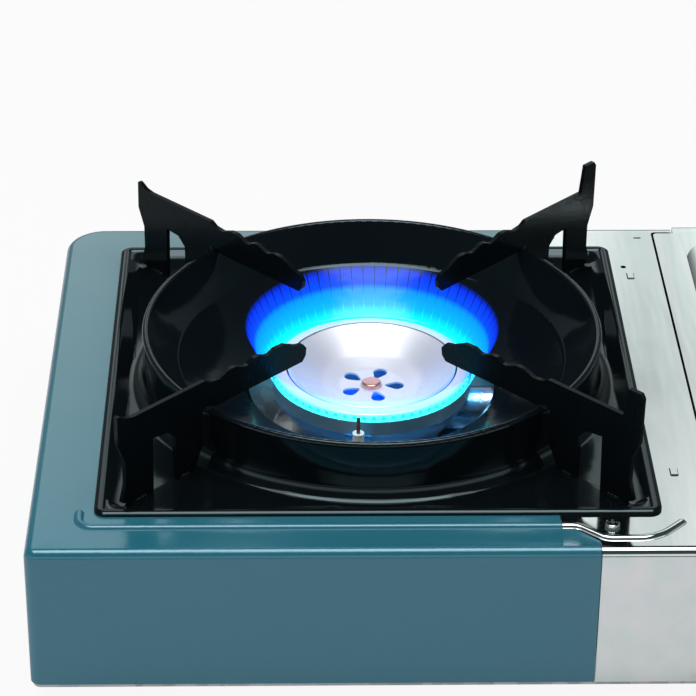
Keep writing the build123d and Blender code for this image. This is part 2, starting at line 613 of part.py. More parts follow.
with BuildPart() as drip_tray:
    # Square pan: a flat lip, a sloping border and a floor
    with BuildSketch(Plane.XY.offset(TRAY_UNDER)):
        with Locations((TX, TY)):
            RectangleRounded(TRAY_SIDE, TRAY_SIDE, TRAY_CORNER_R)
    extrude(amount=TRAY_SHEET)
    with BuildSketch(Plane.XY.offset(TRAY_UNDER)):
        with Locations((TX, TY)):
            RectangleRounded(TRAY_OPENING - 0.6, TRAY_OPENING - 0.6, TRAY_CORNER_R)
    extrude(amount=-TRAY_DEPTH, taper=SLOPE_ANGLE - 4)
    with BuildSketch(Plane.XY.offset(EDGE_Z)):
        with Locations((TX, TY)):
            inner_side = TRAY_SIDE - 2 * TRAY_LIP_W
            RectangleRounded(inner_side, inner_side, TRAY_CORNER_R + 3)
    extrude(amount=-TRAY_DEPTH, taper=SLOPE_ANGLE, mode=Mode.SUBTRACT)
    # Rounded ridge along the lip
    ridge_half = (TRAY_SIDE - TRAY_LIP_W) / 2
    with BuildPart() as ridge_right:
        with BuildLine(Plane(origin=(TX, TY, EDGE_Z))) as ridge_line:
            FilletPolyline(
                (0, -ridge_half),
                (ridge_half, -ridge_half),
                (ridge_half, ridge_half),
                (0, ridge_half),
                radius=TRAY_CORNER_R - TRAY_LIP_W / 2,
            )
        with BuildSketch(Plane(origin=(TX, TY - ridge_half, EDGE_Z), x_dir=Y_AXIS, z_dir=X_AXIS)) as ridge:
            with BuildLine():
                ThreePointArc((-TRAY_LIP_W / 2, 0), (0, TRAY_RIDGE_H), (TRAY_LIP_W / 2, 0))
                Line((TRAY_LIP_W / 2, 0), (-TRAY_LIP_W / 2, 0))
            make_face()
        sweep(ridge.sketch, path=ridge_line.wires()[0])
    add(ridge_right.part)
    add(mirror(ridge_right.part, about=Plane(origin=(TX, TY, 0), z_dir=X_AXIS)))
    with BuildSketch(Plane.XY.offset(0)):
        with Locations((TX, TY)):
            Circle(WALL_C + FLARE_C)
    extrude(amount=2 * BODY_TOP, mode=Mode.SUBTRACT)
    # Wind ring and bowl, one bent sheet turned round the burner's axis
    with BuildSketch(Plane(origin=(TX, TY, EDGE_Z), x_dir=X_AXIS, z_dir=TO_FRONT)) as ring_section:
        with BuildLine() as ring_line:
            Line((WALL_C + FLARE_C + 0.3, FLOOR_C), (WALL_C + FLARE_C, FLOOR_C))
            RadiusArc((WALL_C + FLARE_C, FLOOR_C), (WALL_C, FLOOR_C + FLARE_C), FLARE_C)
            Line((WALL_C, FLOOR_C + FLARE_C), (WALL_C, RING_H - RING_ROLL_R - 1.0))
            Line((WALL_C, RING_H - RING_ROLL_R - 1.0), (RING_R - TRAY_SHEET / 2, RING_H - RING_ROLL_R))
            ThreePointArc(
                (RING_R - TRAY_SHEET / 2, RING_H - RING_ROLL_R),
                (RIM_C - 0.3, RING_H - TRAY_SHEET / 2),
                (ROLL_IN, RING_H - RING_ROLL_R),
            )
            FilletPolyline(
                (ROLL_IN, RING_H - RING_ROLL_R),
                (BOWL_CREASE_R, BOWL_CREASE_H),
                (BOWL_HOLE_R + 2, BOWL_HOLE_H),
                (BOWL_HOLE_R, BOWL_HOLE_H - 2),
                radius=[6.0, 1.5],
            )
        trace(ring_line.edges(), line_width=TRAY_SHEET)
    revolve(axis=Axis((TX, TY, 0), Z_AXIS))
drip_tray.part.label = "drip_tray"
export_step(drip_tray.part, "parts/drip_tray.step")

# ---------------------------------------------------------------- pan supports
ARM_IN_S = RING_R + 2.6  # inner leg's inner edge, outside the ring
ARM_LEG_IN = ARM_OUT_S - ARM_LEG_W - ARM_WINDOW_W - 3.5
NOTCH_HALF = RING_ROLL_R + 1.4
ARM_EASE = 1.0  # rounding of the cut outline's corners
TEETH = [
    (RING_R + 0.6, ARM_REST_H),
    (97.5, 35.2),
    (92.5, 34.6),
    (87.0, 36.6),
    (83.0, 36.6),
    (78.0, 34.4),
    (75.5, 34.4),
    (72.5, 36.2),
    (69.5, 36.2),
    (65.0, 34.3),
    (63.0, 34.3),
    (60.0, 35.6),
    (54.5, 35.4),
    (47.5, 32.0),
]
TIP = [(ARM_TIP_S + 2.0, 31.0), (ARM_TIP_S, 28.5), (ARM_TIP_S + 0.4, 25.0), (ARM_TIP_S + 2.5, ARM_UNDER_H)]


def arm_profile(horned):
    """Outline of one pan support in its own plane, as (s, h) points from the tip's underside round to the leg."""
    outer_top = [(ARM_OUT_S + 0.4, ARM_REST_H + HORN_H - 2), (ARM_OUT_S - 1, ARM_REST_H + HORN_H)]
    outer_top += [(ARM_OUT_S - HORN_W, ARM_REST_H + HORN_H), (ARM_OUT_S - HORN_W - 2.2, ARM_REST_H)]
    if not horned:
        outer_top = [(ARM_OUT_S - 0.2, ARM_REST_H + 3), (ARM_OUT_S - 1.6, ARM_REST_H + 3)]
        outer_top += [(ARM_OUT_S - 5, ARM_REST_H + 0.8), (ARM_OUT_S - 9, ARM_REST_H)]
    foot = -TRAY_DEPTH
    return [
        (RIM_C - NOTCH_HALF - 0.6, ARM_UNDER_H),
        (RIM_C - NOTCH_HALF, RING_H + 0.2),
        (ARM_IN_S - 0.4, RING_H + 0.2),
        (ARM_IN_S, RING_H - 2),
        (ARM_IN_S, FLARE_C),
        (WALL_C + FLARE_C + 1.6, foot),
        (ARM_LEG_IN, foot),
        (ARM_LEG_IN + 0.4, ARM_WINDOW_H - 5),
        (ARM_LEG_IN + 4.5, ARM_WINDOW_H - 0.8),
        (ARM_LEG_IN + ARM_WINDOW_W - 0.6, ARM_WINDOW_H),
        (ARM_LEG_IN + ARM_WINDOW_W, foot),
        (ARM_OUT_S - 5.5, foot),
        (ARM_OUT_S - 1.2, foot + 2.4),
        (ARM_OUT_S - 3.6, 7.0),
        (ARM_OUT_S - 3.6, 18.0),
        (ARM_OUT_S, 27.0),
        *outer_top,
        *TEETH,
        *TIP,
    ]


for name, turn, horned in (
    ("pan_support_front_left", 225, False),
    ("pan_support_front_right", 315, True),
    ("pan_support_back_left", 135, False),
    ("pan_support_back_right", 45, True),
):
    along = (cos(radians(turn)), sin(radians(turn)), 0)
    across = (sin(radians(turn)), -cos(radians(turn)), 0)
    with BuildPart() as pan_support:
        with BuildSketch(Plane(origin=(TX, TY, EDGE_Z), x_dir=along, z_dir=across)):
            with BuildLine():
                Polyline(*arm_profile(horned), close=True)
            make_face()
            foot = vertices().group_by(Axis.Z)[0]
            fillet([v for v in vertices() if v not in foot], ARM_EASE)
        extrude(amount=ARM_T / 2, both=True)
    pan_support.part.label = name
    export_step(pan_support.part, f"parts/{name}.step")

# ---------------------------------------------------------------- burner
DISH_RIM_Z = EDGE_Z + DISH_RIM_H
DISH_LOW_Z = DISH_RIM_Z - DISH_DEPTH
SEAT_Z = EDGE_Z - 7.0  # where the port ring stands on the casting
PORT_Z = EDGE_Z + 0.7
CUP_BOTTOM_Z = SEAT_Z - 24.0
CUP_FOOT_R = PORT_RING_R - 14.0
MIX_Z = CUP_BOTTOM_Z + MIX_R + 1.0
MIX_MOUTH_X = TX + MIX_REACH
CAST_T = 2.6
POST_R = 6.0
RIVET_R = 3.0
BURNER_AXIS = Axis((TX, TY, 0), Z_AXIS)
BURNER_SECTION = Plane(origin=(TX, TY, 0), x_dir=X_AXIS, z_dir=TO_FRONT)
ELECTRODE_X, ELECTRODE_Y = TX - 6.8, TY - PORT_RING_R - 6.5
BOSS_LOW_Z = SEAT_Z - 10.0
BOSS_Y = TY - PORT_RING_R + 1.0
BURNER_SCREWS = [(TX, TY - 11.0), (TX, TY + 11.0)]

with BuildPart() as burner_body:
    with BuildSketch(BURNER_SECTION):
        with BuildLine():
            Polyline(
                (0, CUP_BOTTOM_Z),
                (CUP_FOOT_R, CUP_BOTTOM_Z),
                (CUP_FOOT_R + 4, CUP_BOTTOM_Z + 8),
                (PORT_RING_R - 1, SEAT_Z - 3),
                (PORT_RING_R, SEAT_Z),
                (PORT_RING_R - CAST_T - 2, SEAT_Z),
                (PORT_RING_R - CAST_T - 3, SEAT_Z - 3),
                (CUP_FOOT_R + 4 - CAST_T, CUP_BOTTOM_Z + 8 + CAST_T / 2),
                (CUP_FOOT_R - CAST_T, CUP_BOTTOM_Z + CAST_T),
                (POST_R, CUP_BOTTOM_Z + CAST_T),
                (POST_R, DISH_LOW_Z - 0.5),
                (0, DISH_LOW_Z - 0.5),
                close=True,
            )
        make_face()
    revolve(axis=BURNER_AXIS)
    slab((ELECTRODE_X - 5.5, BOSS_Y - 5.0, BOSS_LOW_Z), (ELECTRODE_X + 5.5, BOSS_Y + 4.5, SEAT_Z - 1))
    rod((TX + CUP_FOOT_R, TY, MIX_Z), X_AXIS, MIX_R, MIX_REACH - CUP_FOOT_R)
    rod((MIX_MOUTH_X - 4, TY, MIX_Z), X_AXIS, MIX_R + 1.5, 4)
    rod((TX + CUP_FOOT_R - 6, TY, MIX_Z), X_AXIS, MIX_BORE_R, MIX_REACH, mode=Mode.SUBTRACT)
    rod((TX, TY, DISH_LOW_Z - 8), Z_AXIS, RIVET_R + SNUG, 20, mode=Mode.SUBTRACT)
    rod((ELECTRODE_X, BOSS_Y, 0), Z_AXIS, SCREW_R + SNUG, BOSS_LOW_Z + 4, mode=Mode.SUBTRACT)
    for x, y in BURNER_SCREWS:
        rod((x, y, 0), Z_AXIS, SCREW_R + SNUG, CUP_BOTTOM_Z + CAST_T, mode=Mode.SUBTRACT)
    slab(
        (ELECTRODE_X - 3.7, ELECTRODE_Y - 3.7, BOSS_LOW_Z - 1),
        (ELECTRODE_X + 3.7, ELECTRODE_Y + 3.7, SEAT_Z + 1),
        mode=Mode.SUBTRACT,
    )
burner_body.part.label = "burner_body"
export_step(burner_body.part, "parts/burner_body.step")

with BuildPart() as burner_port_ring:
    with BuildSketch(BURNER_SECTION):
        with BuildLine() as port_line:
            FilletPolyline(
                (PORT_RING_R - 0.5, SEAT_Z),
                (PORT_RING_R - 0.5, PORT_Z - 1.6),
                (PORT_RING_R - 1.6, PORT_Z + 1.4),
                (DISH_R + 2.4, DISH_RIM_Z - 0.8),
                (DISH_R + 0.6, DISH_RIM_Z - 0.7),
                radius=[1.6, 1.0, 0.6],
            )
        trace(port_line.edges(), line_width=0.9)
    revolve(axis=BURNER_AXIS)
    for i in range(PORT_COUNT):
        port_turn = radians(360 / PORT_COUNT * i)
        port_dir = (cos(port_turn), sin(port_turn), 0)
        rod(
            (TX + (PORT_RING_R - 4) * port_dir[0], TY + (PORT_RING_R - 4) * port_dir[1], PORT_Z),
            port_dir,
            PORT_R,
            6,
            mode=Mode.SUBTRACT,
        )
burner_port_ring.part.label = "burner_port_ring"
export_step(burner_port_ring.part, "parts/burner_port_ring.step")

# Teardrop hole that widens outward
with BuildSketch() as petal:
    with Locations((PETAL_IN_S, 0)):
        Circle(PETAL_IN_R)
    with Locations((PETAL_OUT_S, 0)):
        Circle(PETAL_OUT_R)
    make_hull()

with BuildPart() as burner_dish:
    with BuildSketch(BURNER_SECTION):
        with BuildLine() as dish_line:
            Line((DISH_R - 0.4, DISH_RIM_Z - 0.9), (DISH_R - 1.0, DISH_RIM_Z - 0.4))
            FilletPolyline(
                (DISH_R - 1.0, DISH_RIM_Z - 0.4),
                (DISH_R - 4.0, DISH_RIM_Z - 2.0),
                (DISH_R - 14, DISH_LOW_Z + 2.6),
                (14, DISH_LOW_Z),
                (0.5, DISH_LOW_Z),
                radius=[1.5, 14, 8],
            )
        trace(dish_line.edges(), line_width=0.9)
    revolve(axis=BURNER_AXIS)
    rod((TX, TY, 0), Z_AXIS, RIVET_R + SNUG, 2 * BODY_TOP, mode=Mode.SUBTRACT)
    with BuildSketch(Plane.XY.offset(DISH_LOW_Z - 3)):
        with Locations((TX, TY)):
            with PolarLocations(0, PETAL_COUNT, start_angle=PETAL_TURN):
                add(petal.sketch)
    extrude(amount=6, mode=Mode.SUBTRACT)
burner_dish.part.label = "burner_dish"
export_step(burner_dish.part, "parts/burner_dish.step")

with BuildPart() as burner_rivet:
    rod((TX, TY, DISH_LOW_Z - 8), Z_AXIS, RIVET_R, 8.5)
    rod((TX, TY, DISH_LOW_Z + 0.5), Z_AXIS, RIVET_R + 1.6, 1.8)
    fillet(burner_rivet.edges().filter_by(GeomType.CIRCLE).group_by(Axis.Z)[-1], 1.4)
burner_rivet.part.label = "burner_rivet"
export_step(burner_rivet.part, "parts/burner_rivet.step")

BRACKET_HALF_X = BURNER_FOOT_X - 6.0
BRACKET_HALF_Y = 15.0
FLANGE_W = 2 * (BURNER_FOOT_X - BRACKET_HALF_X)
with BuildPart() as burner_bracket:
    bracket_top = CUP_BOTTOM_Z
    slab(
        (TX - BRACKET_HALF_X, TY - BRACKET_HALF_Y, bracket_top - BRACKET_T),
        (TX + BRACKET_HALF_X, TY + BRACKET_HALF_Y, bracket_top),
    )
    for side in (-1, 1):
        leg_x = TX + side * (BRACKET_HALF_X - BRACKET_T / 2)
        slab(
            (leg_x - BRACKET_T / 2, TY - BRACKET_HALF_Y, BASE_TOP),
            (leg_x + BRACKET_T / 2, TY + BRACKET_HALF_Y, bracket_top),
        )
        foot_x = TX + side * (BRACKET_HALF_X + FLANGE_W / 2)
        slab(
            (foot_x - FLANGE_W / 2, TY - BRACKET_HALF_Y, BASE_TOP),
            (foot_x + FLANGE_W / 2, TY + BRACKET_HALF_Y, BASE_TOP + BRACKET_T),
        )
        rod((foot_x, TY, 0), Z_AXIS, SCREW_R + SNUG, BODY_TOP / 2, mode=Mode.SUBTRACT)
    for x, y in BURNER_SCREWS:
        rod((x, y, 0), Z_AXIS, SCREW_R + SNUG, BODY_TOP, mode=Mode.SUBTRACT)
burner_bracket.part.label = "burner_bracket"
export_step(burner_bracket.part, "parts/burner_bracket.step")

with BuildPart() as burner_screws:
    for x, y in BURNER_SCREWS:
        screw((x, y, CUP_BOTTOM_Z - BRACKET_T), Z_AXIS, BRACKET_T + CAST_T)
burner_screws.part.label = "burner_screws"
export_step(burner_screws.part, "parts/burner_screws.step")

REFLECTOR_T = 0.8
REFLECTOR_IN_R = CUP_FOOT_R + 3.0
REFLECTOR_OUT_R = BOWL_CREASE_R - 9.0
with BuildPart() as reflector_dish:
    with BuildSketch(BURNER_SECTION):
        with BuildLine() as reflector_line:
            FilletPolyline(
                (REFLECTOR_IN_R, CUP_BOTTOM_Z + REFLECTOR_T / 2),
                (REFLECTOR_IN_R + 11, CUP_BOTTOM_Z + REFLECTOR_T / 2),
                (REFLECTOR_OUT_R - 5, SEAT_Z - 6),
                (REFLECTOR_OUT_R, SEAT_Z - 6),
                radius=[4, 2],
            )
        trace(reflector_line.edges(), line_width=REFLECTOR_T)
    revolve(axis=BURNER_AXIS)
    slab(
        (TX, TY - MIX_R - 2, CUP_BOTTOM_Z),
        (TX + REFLECTOR_OUT_R + 5, TY + MIX_R + 2, SEAT_Z),
        mode=Mode.SUBTRACT,
    )
    rod((ELECTRODE_X, ELECTRODE_Y, 0), Z_AXIS, 3.6, BODY_TOP, mode=Mode.SUBTRACT)
reflector_dish.part.label = "reflector_dish"
export_step(reflector_dish.part, "parts/reflector_dish.step")

# ---------------------------------------------------------------- igniter electrode
CERAMIC_R = 2.5
CERAMIC_LOW = CUP_BOTTOM_Z + 8.0
CERAMIC_HIGH = EDGE_Z - 1.7
PIN_R = 0.8
LEAD_R = 1.25
with BuildPart() as electrode_ceramic:
    rod((ELECTRODE_X, ELECTRODE_Y, CERAMIC_LOW), Z_AXIS, CERAMIC_R, CERAMIC_HIGH - CERAMIC_LOW)
    rod((ELECTRODE_X, ELECTRODE_Y, BOSS_LOW_Z), Z_AXIS, CERAMIC_R + 0.9, 3.0)
    rod((ELECTRODE_X, ELECTRODE_Y, CERAMIC_LOW + 6), Z_AXIS, PIN_R + SNUG, BODY_TOP, mode=Mode.SUBTRACT)
    rod((ELECTRODE_X, ELECTRODE_Y, CERAMIC_LOW - 1), Z_AXIS, LEAD_R + SNUG, 5, mode=Mode.SUBTRACT)
electrode_ceramic.part.label = "electrode_ceramic"
export_step(electrode_ceramic.part, "parts/electrode_ceramic.step")

with BuildPart() as electrode_pin:
    with BuildLine() as pin_line:
        FilletPolyline(
            (ELECTRODE_X, ELECTRODE_Y, CERAMIC_LOW + 6),
            (ELECTRODE_X, ELECTRODE_Y, CERAMIC_HIGH + 2.5),
            (ELECTRODE_X, ELECTRODE_Y + 1.8, CERAMIC_HIGH + 6.5),
            radius=1.5,
        )
    with BuildSketch(Plane(origin=pin_line.line @ 0, z_dir=Z_AXIS)):
        Circle(PIN_R)
    sweep(path=pin_line.line)
electrode_pin.part.label = "electrode_pin"
export_step(electrode_pin.part, "parts/electrode_pin.step")

with BuildPart() as electrode_bracket:
    slab(
        (ELECTRODE_X - 5.0, ELECTRODE_Y - 4.5, BOSS_LOW_Z - BRACKET_T),
        (ELECTRODE_X + 5.0, BOSS_Y + 3.0, BOSS_LOW_Z),
    )
    rod((ELECTRODE_X, ELECTRODE_Y, 0), Z_AXIS, CERAMIC_R + SNUG, BODY_TOP, mode=Mode.SUBTRACT)
    rod((ELECTRODE_X, BOSS_Y, 0), Z_AXIS, SCREW_R + SNUG, BODY_TOP, mode=Mode.SUBTRACT)
electrode_bracket.part.label = "electrode_bracket"
export_step(electrode_bracket.part, "parts/electrode_bracket.step")

with BuildPart() as electrode_screw:
    screw((ELECTRODE_X, BOSS_Y, BOSS_LOW_Z - BRACKET_T), Z_AXIS, 5.0)
electrode_screw.part.label = "electrode_screw"
export_step(electrode_screw.part, "parts/electrode_screw.step")

# ---------------------------------------------------------------- heat shield between burner and canister
PIPE_R = 2.0
PIPE_Y = PIVOT_Y + 24.0
LEAD_Y = FRONT_Y + 8.0
LEAD_Z = BODY_TOP - 10.0
SHIELD_INSET = RIM_IN + SLIP
SHIELD_CHAMFER = 4.0
with BuildPart() as heat_shield:
    with BuildSketch(Plane.YZ.offset(SHIELD_X - SHEET / 2)):
        with BuildLine():
            Polyline(
                (FRONT_Y + SHIELD_INSET, BASE_TOP),
                (BACK_Y - SHIELD_INSET, BASE_TOP),
                (BACK_Y - SHIELD_INSET, PANEL_UNDER - SHIELD_CHAMFER),
                (BACK_Y - SHIELD_INSET - SHIELD_CHAMFER, PANEL_UNDER),
                (FRONT_Y + SHIELD_INSET + SHIELD_CHAMFER, PANEL_UNDER),
                (FRONT_Y + SHIELD_INSET, PANEL_UNDER - SHIELD_CHAMFER),
                close=True,
            )
        make_face()
        with Locations((PIPE_Y, CAN_Z), (LEAD_Y, LEAD_Z)):
            Circle(2 * PIPE_R, mode=Mode.SUBTRACT)
    extrude(amount=SHEET)
    for x, y in LOCK_TABS:
        slab(
            (x - TAB_W / 2, y - TAB_L / 2, PANEL_UNDER - 3),
            (x + TAB_W / 2, y + TAB_L / 2, BODY_TOP + 0.6),
        )
        slab(
            (x - TAB_W, y - TAB_L, PANEL_UNDER - 3),
            (x - SHEET / 2, y + TAB_L, PANEL_UNDER),
            mode=Mode.SUBTRACT,
        )
        slab(
            (x + SHEET / 2, y - TAB_L, PANEL_UNDER - 3),
            (x + TAB_W, y + TAB_L, PANEL_UNDER),
            mode=Mode.SUBTRACT,
        )
    slab(
        (SHIELD_X - SHIELD_FLANGE_W, TY - 90, BASE_TOP),
        (SHIELD_X, TY + 110, BASE_TOP + SHEET),
    )
    for x, y, seat_z in BRACKET_SCREWS[3:5]:
        rod((x, y, seat_z + 1), TO_DOWN, SCREW_R + SNUG, 4, mode=Mode.SUBTRACT)
heat_shield.part.label = "heat_shield"
export_step(heat_shield.part, "parts/heat_shield.step")

with BuildPart() as bracket_screws:
    for seat in BRACKET_SCREWS:
        screw(seat, TO_DOWN, 3.5)
bracket_screws.part.label = "bracket_screws"
export_step(bracket_screws.part, "parts/bracket_screws.step")

# ---------------------------------------------------------------- canister carriage
CARRIAGE_HALF = 20.0
CARRIAGE_FRONT_Y = SEAT_Y + 4.0
STOP_Y = CAN_REAR_Y + CAN_CLEAR
STOP_H = 50.0
SADDLE_T = 3.0
SADDLE_HALF = 24.0
SADDLE_TOP = CARRIAGE_Z + 11.0
SADDLE_Y = (SEAT_Y + 22.0, CAN_REAR_Y - 33.0)
STRIP_X = LEVER_X + 3.6
STRIP_H = 8.0
DRIVE_H = CARRIAGE_TRAVEL / 2 / tan(radians(LEVER_SWING / 2))  # drive pin over the lever's pivot
DRIVE_Y = PIVOT_Y - CARRIAGE_TRAVEL / 2
DRIVE_Z = PIVOT_Z + DRIVE_H
DRIVE_R = 1.5
PIN_GAP = 0.3

with BuildPart() as canister_carriage:
    slab(
        (CAN_X - CARRIAGE_HALF, CARRIAGE_FRONT_Y, CARRIAGE_Z),
        (CAN_X + CARRIAGE_HALF, STOP_Y + BRACKET_T, CARRIAGE_Z + CARRIAGE_T),
    )
    # Saddles under the canister
    for y in SADDLE_Y:
        slab((CAN_X - SADDLE_HALF, y, CARRIAGE_Z), (CAN_X + SADDLE_HALF, y + SADDLE_T, SADDLE_TOP))
    rod(
        (CAN_X, CARRIAGE_FRONT_Y, CAN_Z),
        Y_AXIS,
        CAN_R + CAN_CLEAR,
        CAN_L - 10,
        mode=Mode.SUBTRACT,
    )
    # Rear stop, with rounded shoulders
    with BuildSketch(Plane.XZ.offset(-STOP_Y)):
        with Locations((CAN_X, (CARRIAGE_Z + STOP_H) / 2)):
            Rectangle(2 * CARRIAGE_HALF - 4, STOP_H - CARRIAGE_Z)
        fillet(vertices().group_by(Axis.Y)[-1], 8)
    extrude(amount=-BRACKET_T)
    # Strip to the lever, its web to the plate, and the ear that carries the drive pin
    slab(
        (STRIP_X, DRIVE_Y - 4, CARRIAGE_Z),
        (STRIP_X + BRACKET_T, CARRIAGE_FRONT_Y + 8, CARRIAGE_Z + STRIP_H),
    )
    slab(
        (STRIP_X, CARRIAGE_FRONT_Y, CARRIAGE_Z),
        (CAN_X, CARRIAGE_FRONT_Y + 8, CARRIAGE_Z + CARRIAGE_T),
    )
    slab((STRIP_X, DRIVE_Y - 4, CARRIAGE_Z), (STRIP_X + BRACKET_T, DRIVE_Y + 4, DRIVE_Z + 4))
    with BuildSketch(Plane.XY.offset(CARRIAGE_Z)):
        with Locations(*[(CAN_X, y - CARRIAGE_TRAVEL / 2) for y in GUIDE_PIN_Y]):
            SlotOverall(CARRIAGE_TRAVEL + 2 * (GUIDE_PIN_R + PIN_GAP), 2 * (GUIDE_PIN_R + PIN_GAP), rotation=90)
    extrude(amount=CARRIAGE_T, mode=Mode.SUBTRACT)
    rod((STRIP_X - 1, DRIVE_Y, DRIVE_Z), X_AXIS, DRIVE_R + SNUG, 4, mode=Mode.SUBTRACT)
canister_carriage.part.label = "canister_carriage"
export_step(canister_carriage.part, "parts/canister_carriage.step")

with BuildPart() as carriage_guide_pins:
    for y in GUIDE_PIN_Y:
        rod((CAN_X, y, FOOT_H), Z_AXIS, GUIDE_PIN_R, CARRIAGE_Z + CARRIAGE_T + 0.2 - FOOT_H)
        rod((CAN_X, y, CARRIAGE_Z + CARRIAGE_T + 0.2), Z_AXIS, 2 * GUIDE_PIN_R, 0.8)
carriage_guide_pins.part.label = "carriage_guide_pins"
export_step(carriage_guide_pins.part, "parts/carriage_guide_pins.step")

with BuildPart() as carriage_drive_pin:
    rod((LEVER_X - 1.6, DRIVE_Y, DRIVE_Z), X_AXIS, DRIVE_R, STRIP_X + BRACKET_T - LEVER_X + 1.6)
carriage_drive_pin.part.label = "carriage_drive_pin"
export_step(carriage_drive_pin.part, "parts/carriage_drive_pin.step")

# ---------------------------------------------------------------- lock lever
FORK_HALF = 4.2
FORK_SLOT = 2 * (DRIVE_R + PIN_GAP)
FORK_L = DRIVE_H / cos(radians(LEVER_SWING / 2)) + 3.0
HANDLE_HALF = 3.0
GRIP_R0 = LEVER_WALL + 5.5
GRIP_R1 = LEVER_WALL + 17.0
GRIP_HALF = 7.5
GRIP_HALF_H = 4.0
PIVOT_R = 2.0
HUB_R = 6.0


def lever_plane(x):
    """A plane across the lever: its x runs along the handle, its y is square to it and points up."""
    tilt = radians(LEVER_REST)
    return Plane(origin=(x, PIVOT_Y, PIVOT_Z), x_dir=(0, -cos(tilt), sin(tilt)), z_dir=TO_LEFT)


with BuildPart() as lock_lever:
    with BuildSketch(lever_plane(LEVER_X + LEVER_T / 2)):
        Circle(HUB_R)
        with Locations(((GRIP_R1 - 3.0) / 2, 0)):
            Rectangle(GRIP_R1 - 3.0, 2 * HANDLE_HALF)
        with Locations(Location((0, 0, 0), (0, 0, 90 - LEVER_SWING / 2 - LEVER_REST))):
            with Locations((FORK_L / 2, 0)):
                Rectangle(FORK_L, 2 * FORK_HALF)
            with Locations((FORK_L, 0)):
                Rectangle(2 * (FORK_L - 9.5), FORK_SLOT, mode=Mode.SUBTRACT)
        Circle(PIVOT_R + RUN, mode=Mode.SUBTRACT)
    extrude(amount=LEVER_T)
lock_lever.part.label = "lock_lever"
export_step(lock_lever.part, "parts/lock_lever.step")

with BuildPart() as lever_grip:
    with BuildSketch(lever_plane(LEVER_X + GRIP_HALF)):
        with Locations(((GRIP_R0 + GRIP_R1) / 2, 0)):
            RectangleRounded(GRIP_R1 - GRIP_R0, 2 * GRIP_HALF_H, 2.5)
    extrude(amount=2 * GRIP_HALF)
    fillet(lever_grip.edges().group_by(Axis.X)[0], 1.5)
    fillet(lever_grip.edges().group_by(Axis.X)[-1], 1.5)
    with BuildSketch(lever_plane(LEVER_X + LEVER_T / 2 + SNUG)):
        with Locations(((GRIP_R1 - 3.0) / 2, 0)):
            Rectangle(GRIP_R1 - 3.0 + 2 * SNUG, 2 * (HANDLE_HALF + SNUG))
    extrude(amount=LEVER_T + 2 * SNUG, mode=Mode.SUBTRACT)
lever_grip.part.label = "lever_grip"
export_step(lever_grip.part, "parts/lever_grip.step")

EAR_T = 2.0
EAR_X = LEVER_X - LEVER_T / 2 - 0.4 - EAR_T
with BuildPart() as lever_bracket:
    slab((EAR_X, PIVOT_Y - 9, BASE_TOP), (EAR_X + EAR_T, PIVOT_Y + 11, PIVOT_Z + 8))
    slab((EAR_X - 12, PIVOT_Y - 9, BASE_TOP), (EAR_X, PIVOT_Y + 11, BASE_TOP + BRACKET_T))
    rod((EAR_X - 1, PIVOT_Y, PIVOT_Z), X_AXIS, PIVOT_R + SNUG, 4, mode=Mode.SUBTRACT)
    rod((LEVER_X - 10.0, PIVOT_Y, 0), Z_AXIS, SCREW_R + SNUG, BASE_TOP + 5, mode=Mode.SUBTRACT)
lever_bracket.part.label = "lever_bracket"
export_step(lever_bracket.part, "parts/lever_bracket.step")

with BuildPart() as lever_pivot_pin:
    rod((EAR_X, PIVOT_Y, PIVOT_Z), X_AXIS, PIVOT_R, LEVER_X + LEVER_T / 2 + PIN_GAP - EAR_X)
    rod((LEVER_X + LEVER_T / 2 + PIN_GAP, PIVOT_Y, PIVOT_Z), X_AXIS, PIVOT_R + 1.2, 1.0)
lever_pivot_pin.part.label = "lever_pivot_pin"
export_step(lever_pivot_pin.part, "parts/lever_pivot_pin.step")

# ---------------------------------------------------------------- gas regulator
COLLAR_R = 17.0
REG_FLANGE_R = 23.0
REG_FLANGE_T = 2.8
BARREL_R = 11.0
BARREL_L = 36.0
SEAT_BORE_R = 5.0
REG_FACE_Y = SEAT_Y - 2.1  # collar's face, in front of the canister
BARREL_Y1 = REG_Y - REG_FLANGE_T
BARREL_Y0 = BARREL_Y1 - BARREL_L
BOWL_Y = (BARREL_Y0 + BARREL_Y1) / 2
BOWL_R = 18.0
BOWL_LOW = 24.0
BOWL_HIGH = 36.0
CHAMBER_R = 14.0
CHAMBER_H = 6.0
CAP_T = 3.6
TOWER_R = 9.0
TOWER_LOW = 10.0
TOWER_BORE_R = 7.0
DISC_R = 16.0
DISC_T = 0.8
EAR_R = 3.4
EAR_REACH = 13.8
SMALL_SCREW_R = 1.25
REG_EARS = [(CAN_X + i * EAR_REACH, BOWL_Y + j * EAR_REACH) for i in (-1, 1) for j in (-1, 1)]
FLANGE_SCREWS = [(CAN_X + side * (COLLAR_R + 3.0), CAN_Z) for side in (-1, 1)]
GASKET_R = 8.0
GASKET_T = 2.0
OUTLET_X = CAN_X - 14.0
OUTLET_R = 5.0
ORIFICE_R = 1.0
REG_PLATE_X = (REG_FOOT_X[0] - 7.0, REG_FOOT_X[1] + 7.0)

